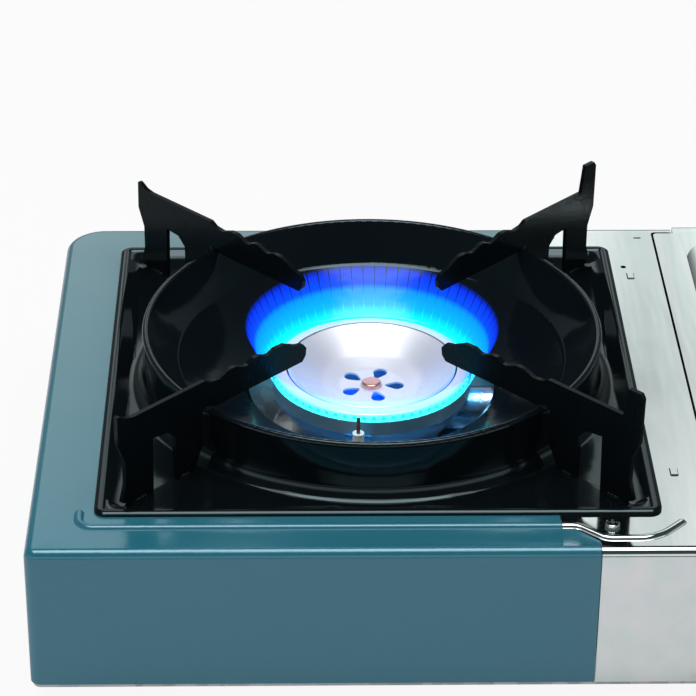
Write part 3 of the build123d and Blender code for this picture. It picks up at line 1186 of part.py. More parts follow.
with BuildPart() as regulator_bracket:
    with BuildSketch(Plane.XZ.offset(-REG_Y)):
        with BuildLine():
            Polyline(
                (REG_PLATE_X[0], BASE_TOP),
                (REG_PLATE_X[0] + 14, BASE_TOP),
                (REG_PLATE_X[0] + 14, BASE_TOP + 14),
                (REG_PLATE_X[1] - 14, BASE_TOP + 14),
                (REG_PLATE_X[1] - 14, BASE_TOP),
                (REG_PLATE_X[1], BASE_TOP),
                (REG_PLATE_X[1], CAN_Z + 15),
                (REG_PLATE_X[1] - 8, CAN_Z + COLLAR_R + 5),
                (REG_PLATE_X[0] + 8, CAN_Z + COLLAR_R + 5),
                (REG_PLATE_X[0], CAN_Z + 15),
                close=True,
            )
        make_face()
        with Locations((CAN_X, CAN_Z)):
            Circle(COLLAR_R + SNUG, mode=Mode.SUBTRACT)
        with Locations(*FLANGE_SCREWS):
            Circle(SMALL_SCREW_R + SNUG, mode=Mode.SUBTRACT)
    extrude(amount=-BRACKET_T)
    for foot_x in REG_FOOT_X:
        slab((foot_x - 7, REG_Y, BASE_TOP), (foot_x + 7, REG_Y + 13, BASE_TOP + BRACKET_T))
        rod((foot_x, REG_Y + 8.0, 0), Z_AXIS, SCREW_R + SNUG, BASE_TOP + 5, mode=Mode.SUBTRACT)
regulator_bracket.part.label = "regulator_bracket"
export_step(regulator_bracket.part, "parts/regulator_bracket.step")

with BuildPart() as regulator_body:
    rod((CAN_X, BARREL_Y1, CAN_Z), Y_AXIS, REG_FLANGE_R, REG_FLANGE_T)
    rod((CAN_X, REG_Y, CAN_Z), Y_AXIS, COLLAR_R, REG_FACE_Y - REG_Y)
    rod((CAN_X, BARREL_Y0, CAN_Z), Y_AXIS, BARREL_R, BARREL_L)
    rod((CAN_X, BOWL_Y, BOWL_LOW), Z_AXIS, BOWL_R, BOWL_HIGH - BOWL_LOW)
    for x, y in REG_EARS:
        rod((x, y, BOWL_LOW), Z_AXIS, EAR_R, BOWL_HIGH - BOWL_LOW)
    rod((OUTLET_X, PIPE_Y, CAN_Z), X_AXIS, OUTLET_R, CAN_X - OUTLET_X)
    # Canister's seat, spindle bore, diaphragm chamber and the passages between them
    rod((CAN_X, REG_FACE_Y - 10, CAN_Z), Y_AXIS, SEAT_BORE_R, 11, mode=Mode.SUBTRACT)
    rod((CAN_X, REG_FACE_Y - GASKET_T, CAN_Z), Y_AXIS, GASKET_R + RUN, GASKET_T + 1, mode=Mode.SUBTRACT)
    rod((CAN_X, BARREL_Y0 - 1, CAN_Z), Y_AXIS, SPINDLE_R + RUN, 22, mode=Mode.SUBTRACT)
    rod((CAN_X, BARREL_Y0, CAN_Z), Y_AXIS, ORIFICE_R, BARREL_L, mode=Mode.SUBTRACT)
    rod((CAN_X, BOWL_Y, BOWL_LOW), Z_AXIS, CHAMBER_R, CHAMBER_H, mode=Mode.SUBTRACT)
    rod((CAN_X, BOWL_Y, BOWL_LOW), Z_AXIS, ORIFICE_R, CAN_Z - BOWL_LOW, mode=Mode.SUBTRACT)
    rod((OUTLET_X - 1, PIPE_Y, CAN_Z), X_AXIS, PIPE_R + SNUG, 6, mode=Mode.SUBTRACT)
    rod((OUTLET_X, PIPE_Y, CAN_Z), X_AXIS, ORIFICE_R, CAN_X - OUTLET_X, mode=Mode.SUBTRACT)
    for x, y in REG_EARS:
        rod((x, y, BOWL_LOW - 1), Z_AXIS, SMALL_SCREW_R + SNUG, 9, mode=Mode.SUBTRACT)
    for x, z in FLANGE_SCREWS:
        rod((x, BARREL_Y1 - 1, z), Y_AXIS, SMALL_SCREW_R + SNUG, 5, mode=Mode.SUBTRACT)
regulator_body.part.label = "regulator_body"
export_step(regulator_body.part, "parts/regulator_body.step")

with BuildPart() as regulator_cap:
    rod((CAN_X, BOWL_Y, BOWL_LOW - CAP_T), Z_AXIS, BOWL_R, CAP_T)
    for x, y in REG_EARS:
        rod((x, y, BOWL_LOW - CAP_T), Z_AXIS, EAR_R, CAP_T)
    rod((CAN_X, BOWL_Y, TOWER_LOW), Z_AXIS, TOWER_R, BOWL_LOW - TOWER_LOW)
    rod((CAN_X, BOWL_Y, TOWER_LOW + 3), Z_AXIS, TOWER_BORE_R, BOWL_LOW, mode=Mode.SUBTRACT)
    rod((CAN_X, BOWL_Y, BOWL_LOW - DISC_T), Z_AXIS, DISC_R + RUN, 2, mode=Mode.SUBTRACT)
    rod((CAN_X, BOWL_Y, TOWER_LOW - 1), Z_AXIS, ORIFICE_R, 5, mode=Mode.SUBTRACT)
    for x, y in REG_EARS:
        rod((x, y, BOWL_LOW - CAP_T - 1), Z_AXIS, SMALL_SCREW_R + SNUG, 6, mode=Mode.SUBTRACT)
regulator_cap.part.label = "regulator_cap"
export_step(regulator_cap.part, "parts/regulator_cap.step")

with BuildPart() as regulator_diaphragm:
    rod((CAN_X, BOWL_Y, BOWL_LOW - DISC_T), Z_AXIS, DISC_R, DISC_T)
regulator_diaphragm.part.label = "regulator_diaphragm"
export_step(regulator_diaphragm.part, "parts/regulator_diaphragm.step")

SPRING_R = 5.0
SPRING_WIRE_R = 0.5
SPRING_LOW = TOWER_LOW + 3 + SPRING_WIRE_R + RUN
SPRING_L = BOWL_LOW - DISC_T - SPRING_WIRE_R - RUN - SPRING_LOW
with BuildPart() as regulator_spring:
    with BuildLine() as coil:
        Helix(pitch=SPRING_L / 4, height=SPRING_L, radius=SPRING_R, center=(CAN_X, BOWL_Y, SPRING_LOW))
    with BuildSketch(Plane(origin=coil.line @ 0, z_dir=coil.line % 0)):
        Circle(SPRING_WIRE_R)
    sweep(path=coil.line, is_frenet=True)
regulator_spring.part.label = "regulator_spring"
export_step(regulator_spring.part, "parts/regulator_spring.step")

with BuildPart() as regulator_screws:
    for x, y in REG_EARS:
        screw((x, y, BOWL_LOW - CAP_T), Z_AXIS, CAP_T + 6, SMALL_SCREW_R)
    for x, z in FLANGE_SCREWS:
        screw((x, BARREL_Y1, z), Y_AXIS, REG_FLANGE_T + BRACKET_T + 1, SMALL_SCREW_R)
regulator_screws.part.label = "regulator_screws"
export_step(regulator_screws.part, "parts/regulator_screws.step")

with BuildPart() as canister_gasket:
    rod((CAN_X, REG_FACE_Y - GASKET_T, CAN_Z), Y_AXIS, GASKET_R, GASKET_T)
    rod((CAN_X, REG_FACE_Y - GASKET_T - 1, CAN_Z), Y_AXIS, SEAT_BORE_R - 1.5, GASKET_T + 2, mode=Mode.SUBTRACT)
canister_gasket.part.label = "canister_gasket"
export_step(canister_gasket.part, "parts/canister_gasket.step")

# ---------------------------------------------------------------- valve spindle and knob
SPINDLE_Y0 = FRONT_Y - KNOB_PROUD + 2.9
SPINDLE_Y1 = BARREL_Y0 + 20.0
FLAT_DEPTH = 0.8
GLAND_L = 6.0
CAM_R = 9.0
CAM_LOBE_R = 13.0
CAM_Y0 = FRONT_Y + 4.9
CAM_T = 4.0
CAM_TURN = -40.0  # the lobe at rest, from the plunger's side
KNOB_Y1 = FRONT_Y - DIAL_T - 0.4
KNOB_SKIRT_T = 4.0
KNOB_GRIP_L = 5.0
KNOB_POINTER = 250.0  # where the pointer stands at rest, seen from the front, from the right and up
GRIP_W = 9.0

with BuildPart() as valve_spindle:
    rod((CAN_X, SPINDLE_Y0, CAN_Z), Y_AXIS, SPINDLE_R, SPINDLE_Y1 - SPINDLE_Y0)
    slab(
        (CAN_X - SPINDLE_R, SPINDLE_Y0 - 1, CAN_Z + SPINDLE_R - FLAT_DEPTH),
        (CAN_X + SPINDLE_R, KNOB_Y1, CAN_Z + SPINDLE_R + 1),
        mode=Mode.SUBTRACT,
    )
valve_spindle.part.label = "valve_spindle"
export_step(valve_spindle.part, "parts/valve_spindle.step")

with BuildPart() as spindle_gland_nut:
    with BuildSketch(Plane.XZ.offset(-BARREL_Y0)):
        with Locations((CAN_X, CAN_Z)):
            RegularPolygon(7.0, 6, major_radius=False)
            Circle(SPINDLE_R + RUN, mode=Mode.SUBTRACT)
    extrude(amount=GLAND_L)
spindle_gland_nut.part.label = "spindle_gland_nut"
export_step(spindle_gland_nut.part, "parts/spindle_gland_nut.step")

lobe_dir = (cos(radians(CAM_TURN)), 0, sin(radians(CAM_TURN)))
with BuildPart() as ignition_cam:
    with BuildSketch(Plane(origin=(CAN_X, CAM_Y0 + CAM_T, CAN_Z), x_dir=lobe_dir, z_dir=TO_FRONT)):
        Circle(CAM_R)
        with BuildLine():
            Polyline((0, 0.5 - CAM_R), (CAM_LOBE_R, -1.5), (CAM_LOBE_R, 1.5), (0, CAM_R - 0.5), close=True)
        make_face()
        Circle(SPINDLE_R + SNUG, mode=Mode.SUBTRACT)
    extrude(amount=CAM_T)
ignition_cam.part.label = "ignition_cam"
export_step(ignition_cam.part, "parts/ignition_cam.step")

with BuildPart() as control_knob:
    rod((CAN_X, KNOB_Y1, CAN_Z), TO_FRONT, KNOB_R, KNOB_SKIRT_T)
    with BuildSketch(Plane.XZ.offset(-KNOB_Y1 + KNOB_SKIRT_T)):
        with Locations((CAN_X, CAN_Z)):
            Circle(KNOB_R - 2.5)
    extrude(amount=KNOB_PROUD - DIAL_T - 0.4 - KNOB_SKIRT_T - KNOB_GRIP_L, taper=5)
    grip_y = FRONT_Y - KNOB_PROUD + KNOB_GRIP_L
    with BuildSketch(Plane.XZ.offset(-grip_y - 2)):
        with Locations(Location((CAN_X, CAN_Z, 0), (0, 0, KNOB_POINTER))):
            SlotOverall(2 * KNOB_R - 8, GRIP_W)
    extrude(amount=KNOB_GRIP_L + 2, taper=4)
    fillet(control_knob.edges().group_by(Axis.Y)[0], 1.0)
    with BuildSketch(Plane.XZ.offset(-KNOB_Y1)):
        with Locations((CAN_X, CAN_Z)):
            Circle(SPINDLE_R + SNUG)
        with Locations((CAN_X, CAN_Z + SPINDLE_R - FLAT_DEPTH / 2 + SNUG)):
            Rectangle(2 * SPINDLE_R, FLAT_DEPTH, mode=Mode.SUBTRACT)
    extrude(amount=KNOB_Y1 - SPINDLE_Y0 + 0.1, mode=Mode.SUBTRACT)
control_knob.part.label = "control_knob"
export_step(control_knob.part, "parts/control_knob.step")

DIAL_Z0 = 15.0
DIAL_Z1 = BODY_TOP - EDGE_R - 1.0
with BuildPart() as dial_plate:
    with BuildSketch(Plane.XZ.offset(-FRONT_Y)):
        with Locations((CAN_X, (DIAL_Z0 + DIAL_Z1) / 2)):
            RectangleRounded(DIAL_W, DIAL_Z1 - DIAL_Z0, 5.0)
        with Locations((CAN_X, CAN_Z)):
            Circle(SPINDLE_HOLE_R, mode=Mode.SUBTRACT)
    extrude(amount=DIAL_T)
dial_plate.part.label = "dial_plate"
export_step(dial_plate.part, "parts/dial_plate.step")

# ---------------------------------------------------------------- piezo igniter
PLUNGER_R = 3.0
PLUNGER_TRAVEL = 4.0
HOUSING_X0 = CAN_X + 18.0
HOUSING_L = 22.0
HOUSING_H = 12.0
HOUSING_Y0 = FRONT_Y + 2.0
PLUNGER_X0 = CAN_X + CAM_R + 0.7
PLUNGER_X1 = HOUSING_X0 + 8.0
PIEZO_MID_Y = (HOUSING_Y0 + PIEZO_Y) / 2
LEAD_START = (CAN_X + 34.0, LEAD_Y)
PIEZO_SCREWS = [(CAN_X + 22.0, CAN_Z + 3.5), (CAN_X + 37.0, CAN_Z - 3.5)]

with BuildPart() as piezo_housing:
    slab((HOUSING_X0, HOUSING_Y0, CAN_Z - HOUSING_H / 2), (HOUSING_X0 + HOUSING_L, PIEZO_Y, CAN_Z + HOUSING_H / 2))
    fillet(piezo_housing.edges().filter_by(Axis.X), 1.5)
    rod(
        (HOUSING_X0 - 1, PIEZO_MID_Y, CAN_Z),
        X_AXIS,
        PLUNGER_R + RUN,
        PLUNGER_X1 + PLUNGER_TRAVEL + 1 - HOUSING_X0 + 1,
        mode=Mode.SUBTRACT,
    )
    rod((*LEAD_START, CAN_Z + HOUSING_H / 2 - 3), Z_AXIS, LEAD_R + SNUG, 5, mode=Mode.SUBTRACT)
    for x, z in PIEZO_SCREWS:
        rod((x, PIEZO_Y + 1, z), TO_FRONT, SMALL_SCREW_R + SNUG, 4, mode=Mode.SUBTRACT)
piezo_housing.part.label = "piezo_housing"
export_step(piezo_housing.part, "parts/piezo_housing.step")

with BuildPart() as piezo_plunger:
    rod((PLUNGER_X0, PIEZO_MID_Y, CAN_Z), X_AXIS, PLUNGER_R, PLUNGER_X1 - PLUNGER_X0)
    fillet(piezo_plunger.edges().filter_by(GeomType.CIRCLE).group_by(Axis.X)[0], 1.2)
piezo_plunger.part.label = "piezo_plunger"
export_step(piezo_plunger.part, "parts/piezo_plunger.step")

with BuildPart() as piezo_bracket:
    slab((PIEZO_X - 10, PIEZO_Y, BASE_TOP), (PIEZO_X + 10, PIEZO_Y + BRACKET_T, CAN_Z + HOUSING_H / 2))
    slab((PIEZO_X - 10, PIEZO_Y, BASE_TOP), (PIEZO_X + 10, PIEZO_Y + 13, BASE_TOP + BRACKET_T))
    rod((PIEZO_X, PIEZO_Y + 8.0, 0), Z_AXIS, SCREW_R + SNUG, BASE_TOP + 5, mode=Mode.SUBTRACT)
    for x, z in PIEZO_SCREWS:
        rod((x, PIEZO_Y - 1, z), Y_AXIS, SMALL_SCREW_R + SNUG, 4, mode=Mode.SUBTRACT)
piezo_bracket.part.label = "piezo_bracket"
export_step(piezo_bracket.part, "parts/piezo_bracket.step")

with BuildPart() as piezo_screws:
    for x, z in PIEZO_SCREWS:
        screw((x, PIEZO_Y + BRACKET_T, z), TO_FRONT, BRACKET_T + 2.8, SMALL_SCREW_R)
piezo_screws.part.label = "piezo_screws"
export_step(piezo_screws.part, "parts/piezo_screws.step")

with BuildPart() as ignition_lead:
    with BuildLine() as lead_line:
        FilletPolyline(
            (*LEAD_START, CAN_Z + HOUSING_H / 2 - 3),
            (*LEAD_START, LEAD_Z),
            (-20.0, LEAD_Y, LEAD_Z),
            (ELECTRODE_X, TY - 84.0, 42.0),
            (ELECTRODE_X, ELECTRODE_Y, 34.0),
            (ELECTRODE_X, ELECTRODE_Y, CERAMIC_LOW + 4),
            radius=8.0,
        )
    with BuildSketch(Plane(origin=lead_line.line @ 0, z_dir=Z_AXIS)):
        Circle(LEAD_R)
    sweep(path=lead_line.line)
ignition_lead.part.label = "ignition_lead"
export_step(ignition_lead.part, "parts/ignition_lead.step")

# ---------------------------------------------------------------- gas pipe and jet
PIPE_X = SHIELD_X - 7.7
PIPE_BEND = 6.0
JET_THREAD_R = 4.0
NUT_L = 6.0
JET_HEX_L = 6.0
PIPE_NUT_AF = 9.0
with BuildPart() as jet_bracket:
    slab((JET_X, TY - 10, BASE_TOP), (JET_X + BRACKET_T, TY + 10, MIX_Z + 9))
    slab((JET_X - 14, TY - 10, BASE_TOP), (JET_X, TY + 10, BASE_TOP + BRACKET_T))
    rod((JET_X - 1, TY, MIX_Z), X_AXIS, JET_THREAD_R + SNUG, 4, mode=Mode.SUBTRACT)
    rod((JET_X - 8.0, TY, 0), Z_AXIS, SCREW_R + SNUG, BASE_TOP + 5, mode=Mode.SUBTRACT)
jet_bracket.part.label = "jet_bracket"
export_step(jet_bracket.part, "parts/jet_bracket.step")

JET_HEX_X = JET_X + BRACKET_T
with BuildPart() as jet_nozzle:
    rod((JET_X - 7, TY, MIX_Z), X_AXIS, JET_THREAD_R - 1, 7)
    rod((JET_X - 3, TY, MIX_Z), X_AXIS, JET_THREAD_R, 3 + BRACKET_T)
    with BuildSketch(Plane.YZ.offset(JET_HEX_X)):
        with Locations((TY, MIX_Z)):
            RegularPolygon(6.0, 6, major_radius=False)
    extrude(amount=JET_HEX_L)
    rod((JET_HEX_X + 2, TY, MIX_Z), X_AXIS, PIPE_R + SNUG, 10, mode=Mode.SUBTRACT)
    rod((JET_X - 10, TY, MIX_Z), X_AXIS, 0.4, 20, mode=Mode.SUBTRACT)
jet_nozzle.part.label = "jet_nozzle"
export_step(jet_nozzle.part, "parts/jet_nozzle.step")

with BuildPart() as pipe_nuts:
    with BuildSketch(Plane.YZ.offset(JET_HEX_X + JET_HEX_L)):
        with Locations((TY, MIX_Z)):
            RegularPolygon(PIPE_NUT_AF / 2, 6, major_radius=False)
            Circle(PIPE_R + SNUG, mode=Mode.SUBTRACT)
    extrude(amount=NUT_L)
    with BuildSketch(Plane.YZ.offset(OUTLET_X - NUT_L)):
        with Locations((PIPE_Y, CAN_Z)):
            RegularPolygon(PIPE_NUT_AF / 2, 6, major_radius=False)
            Circle(PIPE_R + SNUG, mode=Mode.SUBTRACT)
    extrude(amount=NUT_L)
pipe_nuts.part.label = "pipe_nuts"
export_step(pipe_nuts.part, "parts/pipe_nuts.step")

with BuildPart() as gas_pipe:
    with BuildLine() as pipe_line:
        FilletPolyline(
            (OUTLET_X + 4.5, PIPE_Y, CAN_Z),
            (PIPE_X, PIPE_Y, CAN_Z),
            (PIPE_X, TY, MIX_Z),
            (JET_HEX_X + 2.5, TY, MIX_Z),
            radius=PIPE_BEND,
        )
    with BuildSketch(Plane(origin=pipe_line.line @ 0, z_dir=TO_LEFT)):
        Circle(PIPE_R)
        Circle(PIPE_R - 0.6, mode=Mode.SUBTRACT)
    sweep(path=pipe_line.line)
gas_pipe.part.label = "gas_pipe"
export_step(gas_pipe.part, "parts/gas_pipe.step")
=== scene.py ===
# %% [markdown]
# # A butane cassette stove, dressed for the studio
# The metal parts come from the solid model as a fixed frame, in metres: +X to the cook's right, -Y to the
# front, +Z up. This lesson adds what solids lack: the camera, painted and enamelled sheet, polished and
# heat-stained metal, the weld beads, the marks on the dial, the light of the flame and the studio.

# %% Load the frame
import json
import math

import bpy
import numpy as np
from mathutils import Matrix, Vector


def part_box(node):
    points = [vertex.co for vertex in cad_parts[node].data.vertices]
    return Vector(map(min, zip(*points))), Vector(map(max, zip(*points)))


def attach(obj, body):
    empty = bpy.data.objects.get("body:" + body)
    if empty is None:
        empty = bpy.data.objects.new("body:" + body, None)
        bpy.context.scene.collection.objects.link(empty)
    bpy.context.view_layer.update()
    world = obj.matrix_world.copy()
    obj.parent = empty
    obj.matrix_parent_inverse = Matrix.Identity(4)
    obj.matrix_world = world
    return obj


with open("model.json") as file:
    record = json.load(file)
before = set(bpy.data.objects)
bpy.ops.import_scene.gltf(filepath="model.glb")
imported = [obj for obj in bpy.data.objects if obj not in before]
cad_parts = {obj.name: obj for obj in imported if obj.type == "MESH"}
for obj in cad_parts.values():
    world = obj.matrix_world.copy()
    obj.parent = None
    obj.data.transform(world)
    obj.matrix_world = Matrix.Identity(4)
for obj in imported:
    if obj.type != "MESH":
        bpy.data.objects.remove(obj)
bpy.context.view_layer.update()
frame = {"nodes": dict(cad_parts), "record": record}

# %% [markdown]
# ## Places on the stove
# What is added later is measured from two middles: the square drip tray's, which is also the burner's axis,
# and the knob's. They could be typed in, but read from the frame's own boxes they follow the solids, so a
# piece goes where the solid is and needs no fitting.

# %% Middles of the tray and the knob
def span(node):
    """Lowest corner, highest corner and middle of a node's box, as three arrays."""
    low, high = (np.array(corner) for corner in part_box(node))
    return low, high, (low + high) / 2


TRAY_X, TRAY_Y = span("drip_tray")[2][:2]
knob_low, _, knob_mid = span("control_knob")
print("tray middle", np.round([TRAY_X, TRAY_Y], 5), "knob middle", np.round(knob_mid, 5))

# %% [markdown]
# ## Camera
# The stove is seen from the front and above, from a little over a metre away, with a long lens. A camera
# could be aimed by a constraint. Here its axes are built from three angles, as a tripod head turns: first
# the pitch, then the yaw about the vertical, then the roll about the line of sight. A matrix is the plainest
# way to say that, because its columns are the camera's right, up and backward directions. Two small steps
# along those axes then set where the stove sits in the frame.

# %% Camera on its tripod
PITCH, YAW, ROLL = (math.radians(angle) for angle in (29.949, -1.307, 0.474))
CAMERA_DISTANCE, RIGHT_STEP, UP_STEP = 1.231572, -0.010265, 0.009546
TRAY_EDGE_Z = 0.073
FOCAL_PX, FRAME_PX, SENSOR_MM = 2806.974, 696, 36

turn = Matrix.Rotation(YAW, 3, "Z")
sight = turn @ Vector((0, math.cos(PITCH), -math.sin(PITCH)))
level = turn @ Vector((1, 0, 0))
upward = level.cross(sight)
right_axis = math.cos(ROLL) * level + math.sin(ROLL) * upward
up_axis = -math.sin(ROLL) * level + math.cos(ROLL) * upward
aim = Vector((TRAY_X, TRAY_Y, TRAY_EDGE_Z))
tripod = aim - CAMERA_DISTANCE * sight + RIGHT_STEP * right_axis + UP_STEP * up_axis

camera_data = bpy.data.cameras.new("studio_camera")
camera_data.sensor_width, camera_data.sensor_fit = SENSOR_MM, "HORIZONTAL"
camera_data.lens = FOCAL_PX / FRAME_PX * SENSOR_MM
camera_data.clip_start, camera_data.clip_end = 0.05, 50
camera = bpy.data.objects.new("studio_camera", camera_data)
axes = Matrix((right_axis, up_axis, -sight)).transposed().to_4x4()
camera.matrix_world = Matrix.Translation(tripod) @ axes
bpy.context.collection.objects.link(camera)
bpy.context.scene.camera = camera
print("lens", round(camera_data.lens, 2), "mm, tripod at", np.round(tripod, 3))

# %% [markdown]
# ## Small helpers for node trees
# Every finish below is a tree of shader nodes. Writing each node and each link in full is long, so one
# helper adds a node with its settings and feeds its sockets. A second opens a named node group with its
# inputs and outputs, for an effect that several finishes share. A third sets up a colour ramp.

# %% Nodes, groups and ramps
def feed(tree, socket, value):
    """Joins a socket to another one, or sets it to a plain value."""
    if isinstance(value, bpy.types.NodeSocket):
        tree.links.new(value, socket)
    else:
        socket.default_value = value


def add(tree, kind, settings=None, **inputs):
    """A node with its settings and its inputs. An input is named by its label, or i0, i1... by its place."""
    made = tree.nodes.new(kind)
    for name, value in (settings or {}).items():
        setattr(made, name, value)
    for name, value in inputs.items():
        by_place = name[0] == "i" and name[1:].isdigit()
        feed(tree, made.inputs[int(name[1:]) if by_place else name], value)
    return made


def open_group(name, inputs, outputs):
    """A new shader node group, its way in and its way out. Sockets are given as name: (kind, value)."""
    tree = bpy.data.node_groups.new(name, "ShaderNodeTree")
    for label, (kind, value) in inputs.items():
        socket = tree.interface.new_socket(label, in_out="INPUT", socket_type="NodeSocket" + kind)
        socket.default_value = value
    for label, kind in outputs.items():
        tree.interface.new_socket(label, in_out="OUTPUT", socket_type="NodeSocket" + kind)
    print("group", name, "gives", list(outputs))
    return tree, tree.nodes.new("NodeGroupInput").outputs, tree.nodes.new("NodeGroupOutput").inputs


def ramp(tree, factor, stops):
    """A colour ramp whose stops are (place, red, green, blue)."""
    made = add(tree, "ShaderNodeValToRGB", i0=factor)
    bar = made.color_ramp.elements
    while len(bar) < len(stops):
        bar.new(0.5)
    for spot, (place, *rgb) in zip(bar, stops):
        spot.position = place
        spot.color = (*rgb, 1)
    return made.outputs["Color"]


print("node helpers ready")

# %% [markdown]
# Sums on values are nodes too. These helpers give back the result's socket, so that one sum can stand
# inside another, as on paper.

# %% Sums, ranges and mixes
def maths(tree, operation, *values):
    """The result of a Math node on one to three values."""
    inputs = {f"i{place}": value for place, value in enumerate(values)}
    return add(tree, "ShaderNodeMath", {"operation": operation}, **inputs).outputs[0]


def vector_maths(tree, operation, *values, result=0):
    """The result of a Vector Math node on one to three vectors: output 0 a vector, or 1 a number."""
    inputs = {f"i{place}": value for place, value in enumerate(values)}
    return add(tree, "ShaderNodeVectorMath", {"operation": operation}, **inputs).outputs[result]


def between(tree, value, start, end, least=0.0, most=1.0, way="LINEAR"):
    """Goes from least to most while a value goes from start to end, and stays there beyond."""
    return add(tree, "ShaderNodeMapRange", {"interpolation_type": way},
               i0=value, i1=start, i2=end, i3=least, i4=most).outputs["Result"]


def ease(tree, value, start, end, most=1.0):
    """The same from 0, starting and stopping softly: 3t^2 - 2t^3 for a share t of the way."""
    return between(tree, value, start, end, most=most, way="SMOOTHSTEP")


def mix(tree, share, first, second, way="MIX"):
    """Two colours mixed by a share from 0 to 1."""
    return add(tree, "ShaderNodeMix", {"data_type": "RGBA", "blend_type": way},
               Factor=share, i6=first, i7=second).outputs[2]


print("sum helpers ready")

# %% [markdown]
# ## Shared surface effects
# An effect that comes back in several finishes is a node group: it is built once and placed in each finish
# with its own values. The first is *orange peel*. Sprayed paint, fired enamel, castings and moulded plastic
# all have it: soft waves, which come from a noise used as a height.

# %% Orange peel
peel, peel_in, peel_out = open_group(
    "orange_peel", {"Vector": ("Vector", (0, 0, 0)), "Scale": ("Float", 300.0)}, {"Height": "Float"})
waves = add(peel, "ShaderNodeTexNoise", {"noise_dimensions": "3D"},
            Vector=peel_in["Vector"], Scale=peel_in["Scale"], Detail=1.5, Roughness=0.45)
peel.links.new(waves.outputs["Fac"], peel_out["Height"])

# %% [markdown]
# Rolled sheet has lines along the rolling direction. A wave pattern would make them all alike. Noise whose
# coordinates are stretched runs out into streaks that differ from each other, as the real ones do.

# %% Rolled grain
grain, grain_in, grain_out = open_group(
    "rolled_grain",
    {"Vector": ("Vector", (0, 0, 0)), "Stretch": ("Vector", (2500.0, 25.0, 2500.0))}, {"Streak": "Float"})
drawn = vector_maths(grain, "MULTIPLY", grain_in["Vector"], grain_in["Stretch"])
lines = add(grain, "ShaderNodeTexNoise", {"noise_dimensions": "3D"}, Vector=drawn, Scale=1.0, Detail=3.0)
grain.links.new(lines.outputs["Fac"], grain_out["Streak"])

# %% [markdown]
# *Handling* is the soft, cloudy difference in gloss that wiping leaves. It is a noise turned into a
# roughness between a least and a most, which each finish chooses.

# %% Handling
touch, touch_in, touch_out = open_group(
    "handling",
    {"Vector": ("Vector", (0, 0, 0)), "Scale": ("Float", 18.0),
     "Least": ("Float", 0.1), "Most": ("Float", 0.3)}, {"Roughness": "Float"})
cloud = add(touch, "ShaderNodeTexNoise", {"noise_dimensions": "3D"},
            Vector=touch_in["Vector"], Scale=touch_in["Scale"], Detail=4.0, Roughness=0.6)
gloss = between(touch, cloud.outputs["Fac"], 0.3, 0.7, touch_in["Least"], touch_in["Most"])
touch.links.new(gloss, touch_out["Roughness"])

# %% [markdown]
# *Mottling* is what dull spots, fine threads and thin ink show close up. A fine noise gives the spots, and
# each finish lays its own two colours along it.

# %% Mottling
mottle, mottle_in, mottle_out = open_group(
    "mottling", {"Vector": ("Vector", (0, 0, 0)), "Scale": ("Float", 140.0), "Detail": ("Float", 4.0)},
    {"Spots": "Float"})
spots = add(mottle, "ShaderNodeTexNoise",
            Vector=mottle_in["Vector"], Scale=mottle_in["Scale"], Detail=mottle_in["Detail"])
mottle.links.new(spots.outputs["Fac"], mottle_out["Spots"])

# %% [markdown]
# Zinc crystals make the flaky *spangle* of galvanised sheet. A Voronoi pattern has such cells, and a noise
# bends their straight sides. Each cell's random colour gives a brightness, a gloss and a tiny height.

# %% Zinc spangle
zinc, zinc_in, zinc_out = open_group(
    "zinc_spangle", {"Vector": ("Vector", (0, 0, 0)), "Scale": ("Float", 160.0)},
    {"Color": "Color", "Roughness": "Float", "Flake": "Float"})
warp = add(zinc, "ShaderNodeTexNoise", Vector=zinc_in["Vector"], Scale=90.0, Detail=2.0)
bent = vector_maths(zinc, "MULTIPLY_ADD", warp.outputs["Color"], (0.006, 0.006, 0.006), zinc_in["Vector"])
flakes = add(zinc, "ShaderNodeTexVoronoi", {"feature": "F1"}, Vector=bent, Scale=zinc_in["Scale"])
tone = add(zinc, "ShaderNodeSeparateColor", i0=flakes.outputs["Color"]).outputs
shade = ramp(zinc, tone[0], [(0.0, 0.40, 0.42, 0.43), (0.5, 0.52, 0.54, 0.55), (1.0, 0.66, 0.68, 0.69)])
zinc.links.new(shade, zinc_out["Color"])
zinc.links.new(between(zinc, tone[1], 0.0, 1.0, 0.26, 0.46), zinc_out["Roughness"])
zinc.links.new(tone[0], zinc_out["Flake"])

# %% [markdown]
# Metal near a flame is tinted by the heat, in rings round the burner's axis, and the flame's light on the cup
# is painted on in rings as well. The last group measures the distance from a vertical axis, makes it a little
# ragged with noise, and hands out 0 to 1 between two radii, so that each finish can lay its own colours along
# it.

# %% Distance from an axis
halo, halo_in, halo_out = open_group(
    "rings_about_axis",
    {"Vector": ("Vector", (0, 0, 0)), "Axis": ("Vector", (0, 0, 0)), "Inner": ("Float", 0.0),
     "Outer": ("Float", 0.1), "Ragged": ("Float", 0.004)}, {"Ring": "Float"})
away = vector_maths(halo, "SUBTRACT", halo_in["Vector"], halo_in["Axis"])
flat = vector_maths(halo, "MULTIPLY", away, (1, 1, 0))
reach = vector_maths(halo, "LENGTH", flat, result=1)
blot = add(halo, "ShaderNodeTexNoise", Vector=halo_in["Vector"], Scale=45.0, Detail=3.0)
shift = maths(halo, "SUBTRACT", blot.outputs["Fac"], 0.5)
moved = maths(halo, "MULTIPLY_ADD", shift, halo_in["Ragged"], reach)
halo.links.new(between(halo, moved, halo_in["Inner"], halo_in["Outer"]), halo_out["Ring"])

# %% [markdown]
# ## Finishes
# A finish is one material. Its constants, such as how metallic it is all over, go on the shader's own
# sockets, and only what changes over the surface is joined to a node. Every pattern reads Object
# coordinates: each object sits at the origin, so these are metres on the stove itself. Images painted on
# unwrapped solids could do the same, but these patterns need no seams and stay sharp from any distance.

# %% Start a finish
finishes = {}


